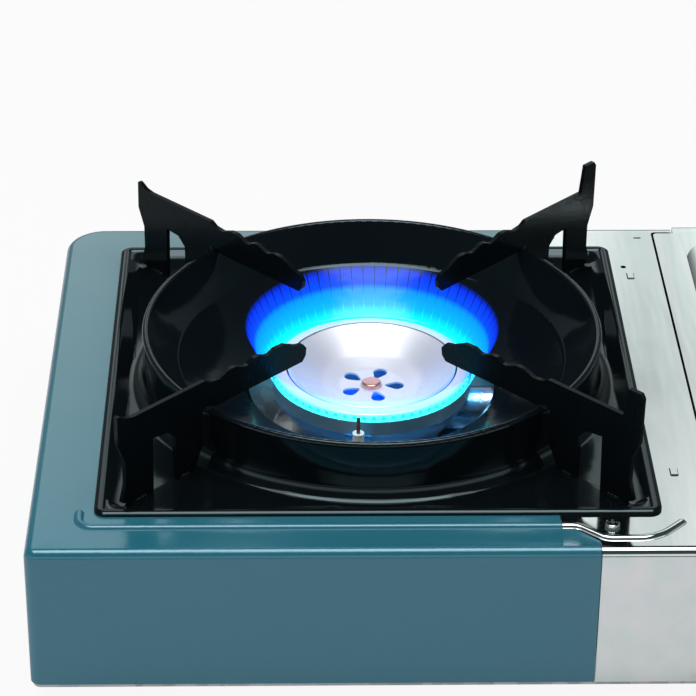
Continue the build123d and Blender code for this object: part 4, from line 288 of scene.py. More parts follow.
def finish(name, color, metallic=0.0, roughness=0.4, **constants):
    """A material with a Principled shader, kept by name; gives its tree, shader and Object coordinates."""
    made = bpy.data.materials.new(name)
    made.use_nodes = True
    tree = made.node_tree
    shader = tree.nodes["Principled BSDF"]
    shader.inputs["Base Color"].default_value = (*color, 1)
    shader.inputs["Metallic"].default_value = metallic
    shader.inputs["Roughness"].default_value = roughness
    for label, value in constants.items():
        shader.inputs[label.replace("_", " ")].default_value = value
    finishes[name] = made
    print("finish", name)
    return tree, shader, add(tree, "ShaderNodeTexCoord").outputs["Object"]


def use(tree, group, **inputs):
    """A node group placed in a material, with its own values; gives its outputs."""
    made = tree.nodes.new("ShaderNodeGroup")
    made.node_tree = group
    for label, value in inputs.items():
        feed(tree, made.inputs[label], value)
    return made.outputs


print("a finish can be started")

# %% [markdown]
# These helpers lay an effect on a finish: they emboss any height or the orange peel, colour the surface along
# a factor or by its mottling, and let handling cloud its gloss.

# %% Lay effects on a finish
def emboss(tree, shader, height, strength, depth):
    """Turns a height into a bump of a given depth in metres."""
    bump = add(tree, "ShaderNodeBump", Strength=strength, Distance=depth, Height=height)
    tree.links.new(bump.outputs["Normal"], shader.inputs["Normal"])


def peeled(tree, shader, where, scale, strength, depth):
    """Embosses the soft waves of orange peel."""
    emboss(tree, shader, use(tree, peel, Vector=where, Scale=scale)["Height"], strength, depth)


def coloured(tree, shader, factor, stops):
    """Colours the surface by a ramp along a factor."""
    tree.links.new(ramp(tree, factor, stops), shader.inputs["Base Color"])


def handled(tree, shader, where, scale, least, most):
    """Lets the roughness wander between two values in soft clouds."""
    cloudy = use(tree, touch, Vector=where, Scale=scale, Least=least, Most=most)
    tree.links.new(cloudy["Roughness"], shader.inputs["Roughness"])


def mottled(tree, shader, where, scale, detail, stops):
    """Colours the surface by a ramp along the spots of mottling."""
    coloured(tree, shader, use(tree, mottle, Vector=where, Scale=scale, Detail=detail)["Spots"], stops)


print("effects ready")

# %% [markdown]
# The left shell is painted sheet: a deep teal under a clear, glossy coat. From the front the coat mirrors the
# backdrop, so the flat panel looks like pale blue-grey enamel, and where something dark stands behind a spot
# the teal itself shows. Its colour is made a little lighter towards the back, a painted reflection of the
# backdrop.

# %% Painted blue sheet
FRONT_Y, BACK_Y = -0.135, 0.14
tree, shader, where = finish("blue_metal", (0.03, 0.20, 0.29), metallic=0.15, roughness=0.22,
                             Specular_IOR_Level=0.9, Coat_Weight=0.35, Coat_Roughness=0.14)
painted_reflection_coords = add(tree, "ShaderNodeSeparateXYZ", i0=where)
# Painted reflection: the colour lightens from front to back, as the mirrored backdrop does on the panel.
coloured(tree, shader, between(tree, painted_reflection_coords.outputs["Y"], FRONT_Y, BACK_Y), [
    (0.0, 0.016, 0.170, 0.240), (0.25, 0.045, 0.190, 0.245), (1.0, 0.085, 0.215, 0.255)])
handled(tree, shader, where, 14.0, 0.18, 0.26)
peeled(tree, shader, where, 420.0, 0.25, 0.0002)

# %% [markdown]
# The right shell and the lid are bright-annealed stainless sheet, close to a mirror. It has no brushing: what
# shows is a faint cloudiness where it was wiped, a hint of the rolling direction in its tone, and the slow
# buckles of a thin pressed panel, which bend what it mirrors. The same grain group gives the last two.

# %% Polished stainless sheet
tree, shader, where = finish("stainless", (0.80, 0.85, 0.84), metallic=1.0, roughness=0.08)
streak = use(tree, grain, Vector=where, Stretch=(95.0, 3.0, 95.0))["Streak"]
coloured(tree, shader, streak, [
    (0.3, 0.77, 0.845, 0.815), (0.5, 0.83, 0.865, 0.850), (0.7, 0.87, 0.875, 0.865)])
handled(tree, shader, where, 22.0, 0.05, 0.12)
buckle = use(tree, grain, Vector=where, Stretch=(45.0, 6.0, 45.0))["Streak"]
emboss(tree, shader, buckle, 0.3, 0.0005)

# %% [markdown]
# The tray is fired black enamel: near-black glass with a mirror gloss, a slow waviness and a fine peel. The
# pan supports are dipped in a duller black enamel, which gives back little light from the cut faces and
# keeps a gloss on the edges only. Both tint what they mirror a little towards green and blue, as glass does.

# %% Black enamel of the tray, duller enamel of the pan supports
ENAMEL_BLACK, ENAMEL_GLINT = (0.003, 0.005, 0.006), (0.72, 0.94, 1.0, 1.0)
tree, shader, where = finish("black_enamel", ENAMEL_BLACK, roughness=0.09, Specular_IOR_Level=0.55,
                             Specular_Tint=ENAMEL_GLINT)
handled(tree, shader, where, 30.0, 0.06, 0.13)
peeled(tree, shader, where, 120.0, 0.2, 0.0003)

tree, shader, where = finish("support_enamel", ENAMEL_BLACK, roughness=0.2, Specular_IOR_Level=0.11,
                             Specular_Tint=ENAMEL_GLINT)
handled(tree, shader, where, 55.0, 0.16, 0.3)
peeled(tree, shader, where, 500.0, 0.35, 0.0002)

# %% [markdown]
# The burner's cap and port ring are bright steel, finely blasted, so they are pale rather than mirror-like.
# The heat has left a blue tint near the ports, in a ring about the burner's axis.

# %% Burner steel
BURNER_AXIS = (TRAY_X, TRAY_Y, 0)
tree, shader, where = finish("burner_steel", (0.90, 0.90, 0.92), metallic=0.55, roughness=0.42)
hot = use(tree, halo, Vector=where, Axis=BURNER_AXIS, Inner=0.030, Outer=0.0445, Ragged=0.003)["Ring"]
coloured(tree, shader, hot, [
    (0.0, 0.92, 0.92, 0.94), (0.6, 0.90, 0.90, 0.93), (0.8, 0.74, 0.74, 0.78),
    (0.92, 0.26, 0.45, 0.62), (1.0, 0.14, 0.38, 0.60)])
blasted = use(tree, grain, Vector=where, Stretch=(900.0, 900.0, 900.0))["Streak"]
emboss(tree, shader, blasted, 0.15, 0.0001)

# %% [markdown]
# The burner cup and the regulator's cap are cast aluminium: silvery, with the pebbled skin of the mould. Near
# the burner the cup is painted blue, a painted glow of the flame's light, which fades out just beyond the
# ports.

# %% Cast aluminium
tree, shader, where = finish("cast_aluminium", (0.72, 0.76, 0.82), metallic=1.0, roughness=0.3)
# Painted light: the blue ring near the burner stands in for the flame's light on the cup.
painted_flame_light = use(tree, halo, Vector=where, Axis=BURNER_AXIS, Inner=0.044, Outer=0.058, Ragged=0.003)["Ring"]
coloured(tree, shader, painted_flame_light, [(0.0, 0.22, 0.55, 0.90), (0.6, 0.55, 0.70, 0.86), (1.0, 0.74, 0.76, 0.80)])
handled(tree, shader, where, 60.0, 0.24, 0.38)
peeled(tree, shader, where, 900.0, 0.5, 0.0003)

# %% [markdown]
# The rivet and the gas pipe are copper. The regulator's body, the jet and the nuts are brass. Both metals
# dull in spots as they are handled, so the colour wanders between a dull and a bright tone.

# %% Copper and brass
tree, shader, where = finish("copper", (0.85, 0.43, 0.33), metallic=1.0, roughness=0.26)
mottled(tree, shader, where, 140.0, 4.0, [(0.3, 0.70, 0.33, 0.26), (0.6, 0.93, 0.56, 0.47)])
handled(tree, shader, where, 120.0, 0.2, 0.36)

tree, shader, where = finish("brass", (0.80, 0.60, 0.27), metallic=1.0, roughness=0.3)
mottled(tree, shader, where, 110.0, 4.0, [(0.3, 0.64, 0.46, 0.19), (0.65, 0.86, 0.67, 0.33)])
handled(tree, shader, where, 90.0, 0.24, 0.4)

# %% [markdown]
# Hidden sheet parts are galvanised steel with its zinc spangle. Screws, pins and the lock lever are plain
# bright steel with a little grease and fine marks of the tool.

# %% Galvanised sheet and fastener steel
tree, shader, where = finish("galvanised_steel", (0.55, 0.57, 0.58), metallic=1.0, roughness=0.35)
spangle = use(tree, zinc, Vector=where, Scale=170.0)
tree.links.new(spangle["Color"], shader.inputs["Base Color"])
tree.links.new(spangle["Roughness"], shader.inputs["Roughness"])
emboss(tree, shader, spangle["Flake"], 0.06, 0.0001)

tree, shader, where = finish("steel_fastener", (0.62, 0.63, 0.64), metallic=1.0, roughness=0.28)
handled(tree, shader, where, 200.0, 0.2, 0.38)
emboss(tree, shader, use(tree, grain, Vector=where, Stretch=(3000.0, 3000.0, 3000.0))["Streak"], 0.1, 0.00004)

# %% [markdown]
# The igniter's ceramic is white and glazed, and a little scorched towards its tip: the height up the stove,
# made ragged by noise, says how far. Its pin is browned all over by the spark and the flame.

# %% Ceramic and igniter pin
SCORCH_FROM_Z, SCORCH_TO_Z, SCORCH_RAGGED = 0.0715, 0.0738, 0.004
tree, shader, where = finish("white_ceramic", (0.86, 0.85, 0.82), roughness=0.12,
                             Coat_Weight=0.6, Coat_Roughness=0.05)
height = add(tree, "ShaderNodeSeparateXYZ", i0=where).outputs["Z"]
soot = add(tree, "ShaderNodeTexNoise", Vector=where, Scale=420.0, Detail=4.0)
burn = maths(tree, "MULTIPLY_ADD", soot.outputs["Fac"], SCORCH_RAGGED, height)
coloured(tree, shader, between(tree, burn, SCORCH_FROM_Z, SCORCH_TO_Z), [
    (0.0, 0.87, 0.86, 0.83), (1.0, 0.66, 0.60, 0.52)])

tree, shader, where = finish("igniter_pin", (0.24, 0.08, 0.05), metallic=0.8, roughness=0.45)
mottled(tree, shader, where, 900.0, 3.0, [(0.35, 0.16, 0.04, 0.03), (0.7, 0.42, 0.20, 0.13)])

# %% [markdown]
# Rubber, plastics and the lead's braided sleeve differ mostly in gloss and in the fineness of their skin.
# Moulded plastic has a fine peel, rubber a coarser and deeper one, and the sleeve's threads show as spots.

# %% Rubber, plastics and sleeve
tree, shader, where = finish("black_rubber", (0.022, 0.022, 0.023), roughness=0.78)
peeled(tree, shader, where, 1400.0, 0.4, 0.0001)

PLASTIC_BLACK = (0.016, 0.016, 0.018)
tree, shader, where = finish("black_plastic", PLASTIC_BLACK, roughness=0.3)
handled(tree, shader, where, 70.0, 0.24, 0.38)
peeled(tree, shader, where, 1800.0, 0.25, 0.00006)

tree, shader, where = finish("grey_plastic", (0.20, 0.20, 0.21), roughness=0.5)
peeled(tree, shader, where, 1500.0, 0.3, 0.00008)

tree, shader, where = finish("lead_sleeve", (0.62, 0.58, 0.48), roughness=0.55)
mottled(tree, shader, where, 700.0, 2.0, [(0.35, 0.52, 0.48, 0.39), (0.65, 0.70, 0.66, 0.56)])

# %% [markdown]
# The knob is the same black plastic, with a white pointer line printed on its grip. The line could be a
# thin piece of its own. As a mask in the knob's own coordinates it costs no faces and turns with the knob:
# a Vector Rotate node turns them until the pointer lies along one axis, and three comparisons keep the
# narrow strip on the grip's face.

# %% Knob with its pointer line
POINTER_ANGLE = 250.0
POINTER_R, POINTER_HALF_LENGTH, POINTER_HALF_WIDTH, PRINT_DEPTH = 0.0118, 0.0026, 0.0007, 0.0006
tree, shader, where = finish("knob_plastic", PLASTIC_BLACK, roughness=0.3)
turned = add(tree, "ShaderNodeVectorRotate", {"rotation_type": "Y_AXIS"},
             Vector=vector_maths(tree, "SUBTRACT", where, tuple(knob_mid)), Angle=math.radians(POINTER_ANGLE))
apart = add(tree, "ShaderNodeSeparateXYZ", i0=turned.outputs[0]).outputs
lengthwise = maths(tree, "COMPARE", maths(tree, "SUBTRACT", apart["X"], POINTER_R), 0.0, POINTER_HALF_LENGTH)
crosswise = maths(tree, "COMPARE", apart["Z"], 0.0, POINTER_HALF_WIDTH)
on_face = maths(tree, "LESS_THAN", apart["Y"], knob_low[1] - knob_mid[1] + PRINT_DEPTH)
line = maths(tree, "MULTIPLY", maths(tree, "MULTIPLY", lengthwise, crosswise), on_face)
coloured(tree, shader, line, [(0.0, *PLASTIC_BLACK), (1.0, 0.82, 0.82, 0.80)])
handled(tree, shader, where, 70.0, 0.24, 0.38)
peeled(tree, shader, where, 1800.0, 0.25, 0.00006)
print("pointer at", POINTER_ANGLE, "degrees")

# %% [markdown]
# The dial plate is dark satin aluminium, brushed from side to side. Its print is thick white ink, with the
# slight unevenness of a screen print.

# %% Dial plate and its print
tree, shader, where = finish("dial_plate", (0.045, 0.047, 0.05), metallic=0.6, roughness=0.34)
brushed = use(tree, grain, Vector=where, Stretch=(30.0, 2500.0, 2500.0))["Streak"]
coloured(tree, shader, brushed, [(0.3, 0.035, 0.036, 0.039), (0.7, 0.07, 0.072, 0.076)])
emboss(tree, shader, brushed, 0.1, 0.00004)

tree, shader, where = finish("white_print", (0.80, 0.80, 0.78), roughness=0.5)
mottled(tree, shader, where, 2600.0, 2.0, [(0.3, 0.70, 0.70, 0.68), (0.6, 0.85, 0.85, 0.83)])
print("finishes", len(finishes))

# %% [markdown]
# ## Dress the frame
# Solids come as loose triangles. They could be merged and smoothed in their meshes, but those are left as
# the solid model made them: a small Geometry Nodes modifier welds the corners, shades the faces smoothly and
# keeps every edge over 30 degrees sharp.

# %% A modifier that welds and smooths
WELD_DISTANCE, SHARP_ANGLE = 2e-6, math.radians(30)
weld = bpy.data.node_groups.new("weld_and_smooth", "GeometryNodeTree")
weld.interface.new_socket("Geometry", in_out="INPUT", socket_type="NodeSocketGeometry")
weld.interface.new_socket("Geometry", in_out="OUTPUT", socket_type="NodeSocketGeometry")
way_in = weld.nodes.new("NodeGroupInput").outputs["Geometry"]
way_out = weld.nodes.new("NodeGroupOutput").inputs["Geometry"]
joined = add(weld, "GeometryNodeMergeByDistance", Geometry=way_in, Distance=WELD_DISTANCE)
smooth = add(weld, "GeometryNodeSetShadeSmooth", {"domain": "FACE"}, Geometry=joined.outputs[0])
smooth.inputs["Shade Smooth"].default_value = True
fold = add(weld, "GeometryNodeInputMeshEdgeAngle")
steep = add(weld, "FunctionNodeCompare", {"data_type": "FLOAT", "operation": "GREATER_THAN"},
            i0=fold.outputs["Unsigned Angle"], i1=SHARP_ANGLE)
crisp = add(weld, "GeometryNodeSetShadeSmooth", {"domain": "EDGE"}, Geometry=smooth.outputs[0],
            Selection=steep.outputs[0])
crisp.inputs["Shade Smooth"].default_value = False
weld.links.new(crisp.outputs[0], way_out)
print("modifier nodes", len(weld.nodes))

# %% [markdown]
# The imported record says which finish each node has. A few get a closer one: the igniter's browned pin, the
# knob with its pointer line, the duller pan supports, and the polished tabs and screws that show among the
# stainless sheet.

# %% Put the finishes on
finish_of = {row["node"]: row["material_slot"] for row in frame["record"]["subparts"]}
finish_of.update(electrode_pin="igniter_pin", control_knob="knob_plastic", heat_shield="stainless",
                 panel_screws="stainless")
finish_of.update({node: "support_enamel" for node in finish_of if node.startswith("pan_support")})


def put_finish(piece, name):
    """Gives every material slot of an object one finish."""
    if not piece.material_slots:
        piece.data.materials.append(finishes[name])
    for place in piece.material_slots:
        place.material = finishes[name]


for node, solid in frame["nodes"].items():
    put_finish(solid, finish_of[node])
    solid.modifiers.new("weld_and_smooth", "NODES").node_group = weld
print("dressed", len(frame["nodes"]), "solids")

# %% [markdown]
# ## New pieces
# Every added surface is a grid of points worked out at once with numpy. It could be modelled by hand, but a
# formula says its shape in one line and gives the same result each run. The rows run along the piece and
# the columns across or round it. The helper turns the grid into quads and leaves the object at the origin,
# with its place in its mesh.

# %% From a grid of points to a piece
def grid_mesh(name, points, finish_name, body, closed=False):
    """A piece from points[row, column, xyz]: quads between neighbours.

    Point (row, column) has the number row * columns + column. In a closed piece each row is a ring that
    meets itself, and the first and the last ring are filled with one face each."""
    rows, columns = points.shape[:2]
    number = np.arange(rows * columns).reshape(rows, columns)
    here, below = number[:-1], number[1:]
    quads = np.stack([here, np.roll(here, -1, axis=1), np.roll(below, -1, axis=1), below], axis=-1)
    faces = (quads if closed else quads[:, :-1]).reshape(-1, 4).tolist()
    if closed:
        faces += [number[0][::-1].tolist(), number[-1].tolist()]
    mesh = bpy.data.meshes.new(name)
    mesh.from_pydata(points.reshape(-1, 3).tolist(), [], faces)
    mesh.update()
    mesh.polygons.foreach_set("use_smooth", np.ones(len(mesh.polygons), bool))
    piece = bpy.data.objects.new(name, mesh)
    bpy.context.collection.objects.link(piece)
    put_finish(piece, finish_name)
    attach(piece, body)
    return piece


print("grid helper ready")

# %% [markdown]
# Each pan support is welded to the tray at its two feet, on both sides of its sheet, and tacked to the
# wind ring's rim. A weld bead is a bar that swells and thins as the torch stepped along, and it melts
# into both sheets, so half of it is buried.

# %% The surface of a weld bead
def bead_surface(start, end, radius, ripples, sides=10, steps=26):
    """Points of a weld bead: rings of radius R(v) about the line from start to end.

    R(v) = radius * (1.02 - (2v - 1)^4) * (1 + 0.1 sin(2 pi ripples v)), with v from 0 to 1 along the line.
    The 0.02 leaves a hair's width at both ends, so that they close with a small face."""
    start, end = np.asarray(start, float), np.asarray(end, float)
    line = end - start
    forward = line / np.linalg.norm(line)
    side = np.cross(forward, (0, 0, 1))
    side /= np.linalg.norm(side)
    rise = np.cross(side, forward)
    v = np.linspace(0, 1, steps)[:, None, None]
    u = np.arange(sides)[None, :, None] * (2 * math.pi / sides)
    width = radius * (1.02 - (2 * v - 1) ** 4) * (1 + 0.1 * np.sin(2 * math.pi * ripples * v))
    return start + v * line + width * (np.cos(u) * side + np.sin(u) * rise)


print("bead points", bead_surface((0, 0, 0), (0.006, 0, 0), 0.001, 5).shape)

# %% [markdown]
# The table of welds gives, for one pan support, where each bead starts and ends from the burner's axis, its
# height, its radius and its ripples. A loop turns it to the four corners and to both sides of the sheet.

# %% Weld beads on the pan supports
ARM_TURNS = {"front_left": 225, "front_right": 315, "back_left": 135, "back_right": 45}
ARM_SHEET, FLOOR_Z, RIM_R, RIM_Z = 0.002, 0.070, 0.0986, 0.0962
WELDS = {"inner": (0.1095, 0.1160, FLOOR_Z, 0.0011, 5),
         "outer": (0.1330, 0.1415, FLOOR_Z, 0.0012, 5),
         "rim": (RIM_R - 0.0008, RIM_R + 0.0030, RIM_Z, 0.0013, 2)}
beads = []
for corner, degrees in ARM_TURNS.items():
    out = np.array([math.cos(math.radians(degrees)), math.sin(math.radians(degrees)), 0.0])
    to_side = np.array([-out[1], out[0], 0.0]) * ARM_SHEET / 2
    for side, sign in (("right", -1), ("left", 1)):
        for foot, (near, far, height, radius, ripples) in WELDS.items():
            beside = np.array([TRAY_X, TRAY_Y, height]) + sign * to_side
            surface = bead_surface(beside + near * out, beside + far * out, radius, ripples)
            name = f"weld_{foot}_{corner}_{side}"
            beads.append(grid_mesh(name, surface, "support_enamel", "tray", closed=True))
print("weld beads", len(beads))

# %% [markdown]
# ## Marks on the dial
# The dial shows OFF, a flame scale that thickens from low to high, and its two words. They could be a mask
# in the plate's material, as the pointer is in the knob's, but letters are simpler as thin pieces. The print
# stands a few hundredths of a millimetre over the plate, as thick ink does.

# %% The dial's own plane
INK = 0.00004
plate_low, plate_high, _ = span("dial_plate")
KNOB_X, KNOB_Z = knob_mid[0], knob_mid[2]
PRINT_Y = plate_low[1] - INK


def on_dial(angle, radius):
    """The point at an angle in degrees and a distance about the knob's axis, seen from the front."""
    turn_by = np.radians(angle)
    return np.stack([KNOB_X + radius * np.cos(turn_by), np.full_like(turn_by * radius, PRINT_Y),
                     KNOB_Z + radius * np.sin(turn_by)], axis=-1)


print("dial plate", np.round(plate_low, 4), np.round(plate_high, 4), "print at", round(PRINT_Y, 5))

# %% [markdown]
# The scale is a crescent: an arc whose width grows along it. A tick is the same arc, short and of one width.

# %% Crescent scale and ticks
SCALE_ANGLES, SCALE_INNER, SCALE_THIN, SCALE_THICK = (178, 238), 0.0218, 0.0222, 0.0240
TICK_HALF_ANGLE, TICK_INNER, TICK_OUTER = 1.4, 0.0215, 0.0240


def arc_band(name, from_angle, to_angle, inner, outer_start, outer_end, steps=40):
    """A flat band between two radii: inner is fixed, the outer radius goes evenly from start to end.

    The outer edge is the first row, which turns the face to the front."""
    angles = np.linspace(from_angle, to_angle, steps)
    outer = on_dial(angles, np.linspace(outer_start, outer_end, steps))
    grid_mesh(name, np.stack([outer, on_dial(angles, np.full(steps, inner))]), "white_print", "stove")


arc_band("dial_scale", *SCALE_ANGLES, SCALE_INNER, SCALE_THIN, SCALE_THICK)
for tick, angle in (("off", 150.0), ("high", 250.0)):
    arc_band(f"dial_tick_{tick}", angle - TICK_HALF_ANGLE, angle + TICK_HALF_ANGLE,
             TICK_INNER, TICK_OUTER, TICK_OUTER, steps=4)
print("scale and ticks", SCALE_ANGLES)

# %% [markdown]
# A word is a text object turned into a mesh. Its letters lie in the XY plane, so a matrix stands them up to
# face the front and takes them to their spot round the knob.

# %% Words
WORD_R = 0.0262
WORDS = {"off": (0.0042, 152.0), "low": (0.0034, 184.0), "high": (0.0034, 243.0)}


def word(name, text, size, angle, radius):
    """Flat lettering made a mesh, then moved from its own XY plane to the front of the dial."""
    curve = bpy.data.curves.new(name + "_text", "FONT")
    curve.body, curve.size = text, size
    curve.align_x, curve.align_y = "CENTER", "CENTER"
    curve.resolution_u = 3
    letters = bpy.data.objects.new(name + "_text", curve)
    mesh = bpy.data.meshes.new_from_object(letters)
    bpy.data.objects.remove(letters)
    spot = on_dial(np.array([angle]), np.array([radius]))[0]
    mesh.transform(Matrix(((1, 0, 0, spot[0]), (0, 0, -1, spot[1]), (0, 1, 0, spot[2]), (0, 0, 0, 1))))
    mesh.name = name
    piece = bpy.data.objects.new(name, mesh)
    bpy.context.collection.objects.link(piece)
    put_finish(piece, "white_print")
    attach(piece, "stove")


for text, (size, angle) in WORDS.items():
    word("dial_word_" + text, text.upper(), size, angle, WORD_R)
print("words", list(WORDS))

# %% [markdown]
# ## Light of the flame
# The burner is shown lit. The flame could be a glowing mesh, but it is only light, so it is made of lamps
# and adds no surface to the stove. Each tongue is a narrow upright lamp that stands on the ports and leans
# outwards, with a twin that shines the other way. All of them share one light, whose colour goes by height,
# from cyan at the foot through azure to a deep blue that fades out.

# %% Colours of the flame
FLAME_FOOT_R, FLAME_FOOT_Z = 0.0440, 0.0728
FLAME_HEIGHT, FLAME_LEAN = 0.0232, 0.0112
TONGUES, MEET_AT = 64, 0.45
FLAME_POWER = 4  # watts for each square metre, which shows a little brighter than white

flame = bpy.data.lights.new("flame_tongue", "AREA")
flame.shape = "RECTANGLE"
# Side by side, the tongues meet a share MEET_AT of the way up: they overlap below it and part above it
flame.size = 2 * math.pi * (FLAME_FOOT_R + MEET_AT * FLAME_LEAN) / TONGUES
flame.size_y = math.hypot(FLAME_HEIGHT, FLAME_LEAN)
flame.energy = FLAME_POWER * flame.size * flame.size_y
flame.use_nodes = True
tree = flame.node_tree
part = add(tree, "ShaderNodeSeparateXYZ", i0=add(tree, "ShaderNodeNewGeometry").outputs["Position"])
rise = between(tree, part.outputs["Z"], FLAME_FOOT_Z, FLAME_FOOT_Z + FLAME_HEIGHT)
hue = ramp(tree, rise, [
    (0.0, 0.03, 1.25, 1.05), (0.12, 0.0, 0.85, 1.0), (0.30, 0.0, 0.42, 0.95), (0.56, 0.0, 0.28, 0.90),
    (0.66, 0.0, 0.070, 0.95), (0.88, 0.0, 0.03, 0.80), (1.0, 0.0, 0.0, 0.0)])
tree.links.new(hue, tree.nodes["Emission"].inputs["Color"])
print("a tongue is", round(flame.size * 1000, 1), "x", round(flame.size_y * 1000, 1), "mm")

# %% [markdown]
# A lamp shines down its own -Z and its sides lie along X and Y. Read from the right, the matrices stand it
# up, lean it, put it on the ring of ports and carry it round the burner's axis. The camera doesn't see lamps
# unless it is told to. A round lamp under the cap shines through the petal holes.

# %% Lamps of the flame
PILOT_WIDTH, PILOT_POWER, PILOT_Z, PILOT_BLUE = 0.030, 0.0016, 0.0630, (0.02, 0.32, 1.0)
QUARTER = math.pi / 2


def hang(name, light, place):
    """A lamp that shines a given light, from a place given as a matrix."""
    made = bpy.data.objects.new(name, light)
    made.matrix_world = place
    bpy.context.collection.objects.link(made)
    return made


burner = Matrix.Translation(BURNER_AXIS)
on_ports = Matrix.Translation((FLAME_FOOT_R + FLAME_LEAN / 2, 0, FLAME_FOOT_Z + FLAME_HEIGHT / 2))
leaning = Matrix.Rotation(math.atan2(FLAME_LEAN, FLAME_HEIGHT), 4, "Y")
upright = leaning @ Matrix.Rotation(QUARTER, 4, "Z") @ Matrix.Rotation(QUARTER, 4, "X")
for number in range(2 * TONGUES):
    around = Matrix.Rotation(math.tau * (number // 2) / TONGUES, 4, "Z")
    twin = Matrix.Rotation(math.pi * (number % 2), 4, "Y")
    tongue = hang(f"flame_{number:02d}", flame, burner @ around @ on_ports @ upright @ twin)
    tongue.visible_camera = True

pilot = bpy.data.lights.new("pilot_light", "AREA")
pilot.shape, pilot.size, pilot.energy, pilot.color = "DISK", PILOT_WIDTH, PILOT_POWER, PILOT_BLUE
under_cap = burner @ Matrix.Translation((0, 0, PILOT_Z))
hang("pilot_light", pilot, under_cap @ Matrix.Rotation(math.pi, 4, "X"))
print("tongues", TONGUES, "each with its twin")

# %% [markdown]
# ## Studio
# The floor is pale and plain. For the camera nine tenths of it is a white glow and the rest is the matte
# floor itself, so it looks white and still keeps part of the stove's soft shadow.

# %% Floor
FLOOR_HALF, FLOOR_GLOW = 6, 0.91
floor_mesh = bpy.data.meshes.new("studio_floor")
corners = [(x * FLOOR_HALF, y * FLOOR_HALF, 0) for x, y in ((-1, -1), (1, -1), (1, 1), (-1, 1))]
floor_mesh.from_pydata(corners, [], [(0, 1, 2, 3)])
floor = bpy.data.objects.new("studio_floor", floor_mesh)
bpy.context.collection.objects.link(floor)
floor_finish = bpy.data.materials.new("pale_floor")
floor_finish.use_nodes = True
tree = floor_finish.node_tree
matte = tree.nodes["Principled BSDF"]
matte.inputs["Base Color"].default_value = (0.72, 0.72, 0.73, 1)
matte.inputs["Roughness"].default_value = 0.7
glow = add(tree, "ShaderNodeEmission", Color=(1, 1, 1, 1), Strength=1.0)
share = maths(tree, "MULTIPLY", add(tree, "ShaderNodeLightPath").outputs["Is Camera Ray"], FLOOR_GLOW)
blend = add(tree, "ShaderNodeMixShader", i0=share, i1=matte.outputs[0], i2=glow.outputs[0])
tree.links.new(blend.outputs[0], tree.nodes["Material Output"].inputs["Surface"])
floor.data.materials.append(floor_finish)
print("floor", 2 * FLOOR_HALF, "m wide")

# %% [markdown]
# Polished metal and enamel look real only where they have light and dark to mirror, so the world is a room.
# It could be a panorama, but sums on the direction of a ray need no file. The direction has a length of 1:
# X goes to the side, Y to the back and Z up, so a Z of 0.5 is 30 degrees over the horizon. First come the
# dim walls, which darken towards the top.

# %% World and walls
world = bpy.data.worlds.new("studio_room")
bpy.context.scene.world = world
world.use_nodes = True
tree = world.node_tree
tree.nodes.clear()
heading = add(tree, "ShaderNodeSeparateXYZ", i0=add(tree, "ShaderNodeTexCoord").outputs["Generated"]).outputs
aside = maths(tree, "ABSOLUTE", heading["X"])
walls = ramp(tree, heading["Z"], [
    (0.0, 0.13, 0.14, 0.15), (0.30, 0.14, 0.16, 0.17), (0.50, 0.08, 0.10, 0.10), (0.72, 0.04, 0.05, 0.06)])
print("walls up")

# %% [markdown]
# Behind the stove hangs a white backdrop with soft edges, which the flat panels mirror. One soft grey band
# lies across it and a few grey stands are on its right side, so that the stainless sheet has something to
# show. A small dark flag hangs in its middle and keeps the flat enamel behind the burner black.

# %% Backdrop, band, stands and flag
FLAG_GREY = (0.10, 0.11, 0.12, 1)
ahead = between(tree, heading["Y"], 0.55, 0.65)
in_width = ease(tree, aside, 0.36, 0.24)
from_foot, to_top = ease(tree, heading["Z"], 0.24, 0.42), ease(tree, heading["Z"], 0.74, 0.60)
in_height = maths(tree, "MULTIPLY", from_foot, to_top)
backdrop = maths(tree, "MULTIPLY", in_height, maths(tree, "MULTIPLY", ahead, in_width))
band = ramp(tree, heading["Z"], [
    (0.445, 1.15, 1.22, 1.22), (0.478, 0.98, 1.04, 1.04),
    (0.510, 0.76, 0.82, 0.82), (0.545, 1.0, 1.06, 1.06)])
stands = ramp(tree, heading["X"], [
    (0.095, 1.0, 1.0, 1.0), (0.125, 0.62, 0.64, 0.64), (0.150, 0.95, 0.95, 0.95),
    (0.175, 0.60, 0.64, 0.62), (0.210, 0.98, 0.98, 0.98), (0.270, 0.70, 0.72, 0.72)])
flag_height = ramp(tree, heading["Z"], [
    (0.440, 0.0, 0.0, 0.0), (0.460, 1.0, 1.0, 1.0), (0.500, 1.0, 1.0, 1.0), (0.515, 0.0, 0.0, 0.0)])
flag = maths(tree, "MULTIPLY", ease(tree, aside, 0.075, 0.055), flag_height)
lit = mix(tree, flag, mix(tree, 1.0, band, stands, way="MULTIPLY"), FLAG_GREY)
room = mix(tree, backdrop, walls, lit)
print("backdrop", len(tree.nodes), "nodes so far")

# %% [markdown]
# Lower screens stand in front of the stove and, half as strong, far out at both sides. They are what the
# top mirrors when the stove is seen from the back or the side. A patch of strong light straight overhead,
# within 15 to 19 degrees of the vertical, draws the white lines along the front of beads, rims and bends.

# %% Screens and overhead patch
SCREEN_WHITE, PATCH_WHITE = (0.78, 0.82, 0.83, 1), (2.6, 2.8, 2.9, 1)
low = ramp(tree, heading["Z"], [
    (0.10, 0.0, 0.0, 0.0), (0.18, 1.0, 1.0, 1.0), (0.42, 1.0, 1.0, 1.0), (0.52, 0.0, 0.0, 0.0)])
nearer = ease(tree, heading["Y"], -0.25, -0.45)
beside = ease(tree, aside, 0.88, 0.95, most=0.5)
screens = maths(tree, "MULTIPLY", maths(tree, "MAXIMUM", nearer, beside), low)
room = mix(tree, screens, room, SCREEN_WHITE)
room = mix(tree, ease(tree, heading["Z"], 0.945, 0.965), room, PATCH_WHITE)
print("screens", len(tree.nodes), "nodes so far")

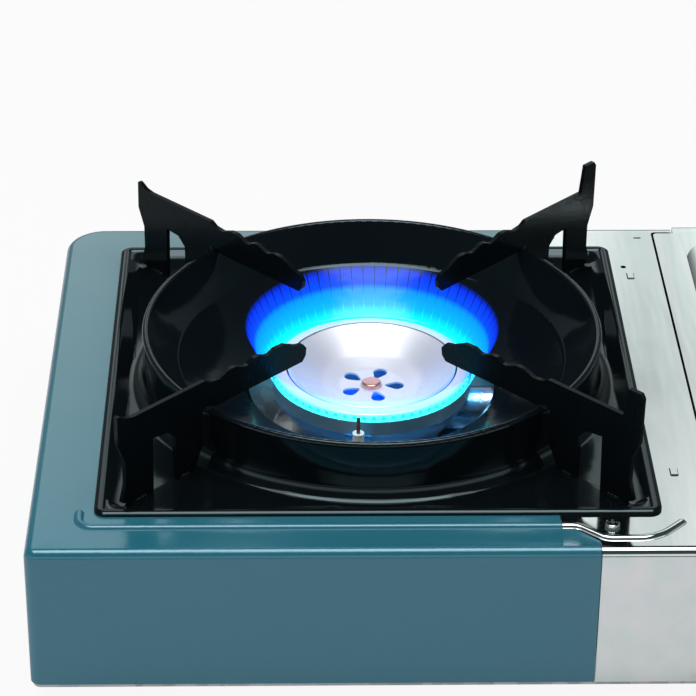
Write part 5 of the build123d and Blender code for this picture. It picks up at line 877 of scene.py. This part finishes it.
# %% [markdown]
# Each kind of ray finds its own surroundings. The camera's rays find plain white, mirrored rays find the
# room, and soft scattered light is one even grey, so that it neither speckles nor tints the paint.

# %% What each ray finds
SOFT_GREY = (0.42, 0.43, 0.45, 1)
path = add(tree, "ShaderNodeLightPath").outputs
seen = mix(tree, path["Is Camera Ray"], room, (1, 1, 1, 1))
fill = add(tree, "ShaderNodeBackground", Color=SOFT_GREY, Strength=1.0)
mirror = add(tree, "ShaderNodeBackground", Color=seen, Strength=1.0)
sharp = maths(tree, "MAXIMUM", path["Is Camera Ray"], path["Is Glossy Ray"])
sharp = maths(tree, "MAXIMUM", sharp, path["Is Transmission Ray"])
sky = add(tree, "ShaderNodeMixShader", i0=sharp, i1=fill.outputs[0], i2=mirror.outputs[0])
tree.links.new(sky.outputs[0], add(tree, "ShaderNodeOutputWorld").inputs["Surface"])
print("world nodes", len(tree.nodes))

# %% [markdown]
# Three soft lamps light the stove. The one overhead is mirrored, as the patch above it is. The two at the
# sides only fill: mirrored, they would show as grey patches in the black bowl.

# %% Lamps
def lamp(name, place, aim, size, power, mirrored=True):
    """A rectangular soft light at a place, turned towards a point."""
    light = bpy.data.lights.new(name, "AREA")
    light.shape = "RECTANGLE"
    light.size, light.size_y = size
    light.energy = power
    facing = (Vector(place) - Vector(aim)).to_track_quat("Z", "Y").to_matrix().to_4x4()
    hang(name, light, Matrix.Translation(place) @ facing).visible_glossy = mirrored


lamp("overhead_softbox", (-0.05, 0.02, 1.35), (-0.05, 0.0, 0.07), (1.1, 0.6), 5.0)
lamp("key_softbox", (-0.8, -0.3, 1.3), (-0.02, 0.0, 0.05), (0.9, 0.6), 6.0, mirrored=False)
lamp("right_softbox", (0.75, -0.1, 1.5), (0.05, 0.0, 0.05), (0.6, 0.6), 3.0, mirrored=False)

# %% [markdown]
# ## Finish
# The view transform is Standard, so a colour renders about as it is written.

bpy.context.scene.view_settings.view_transform = "Standard"
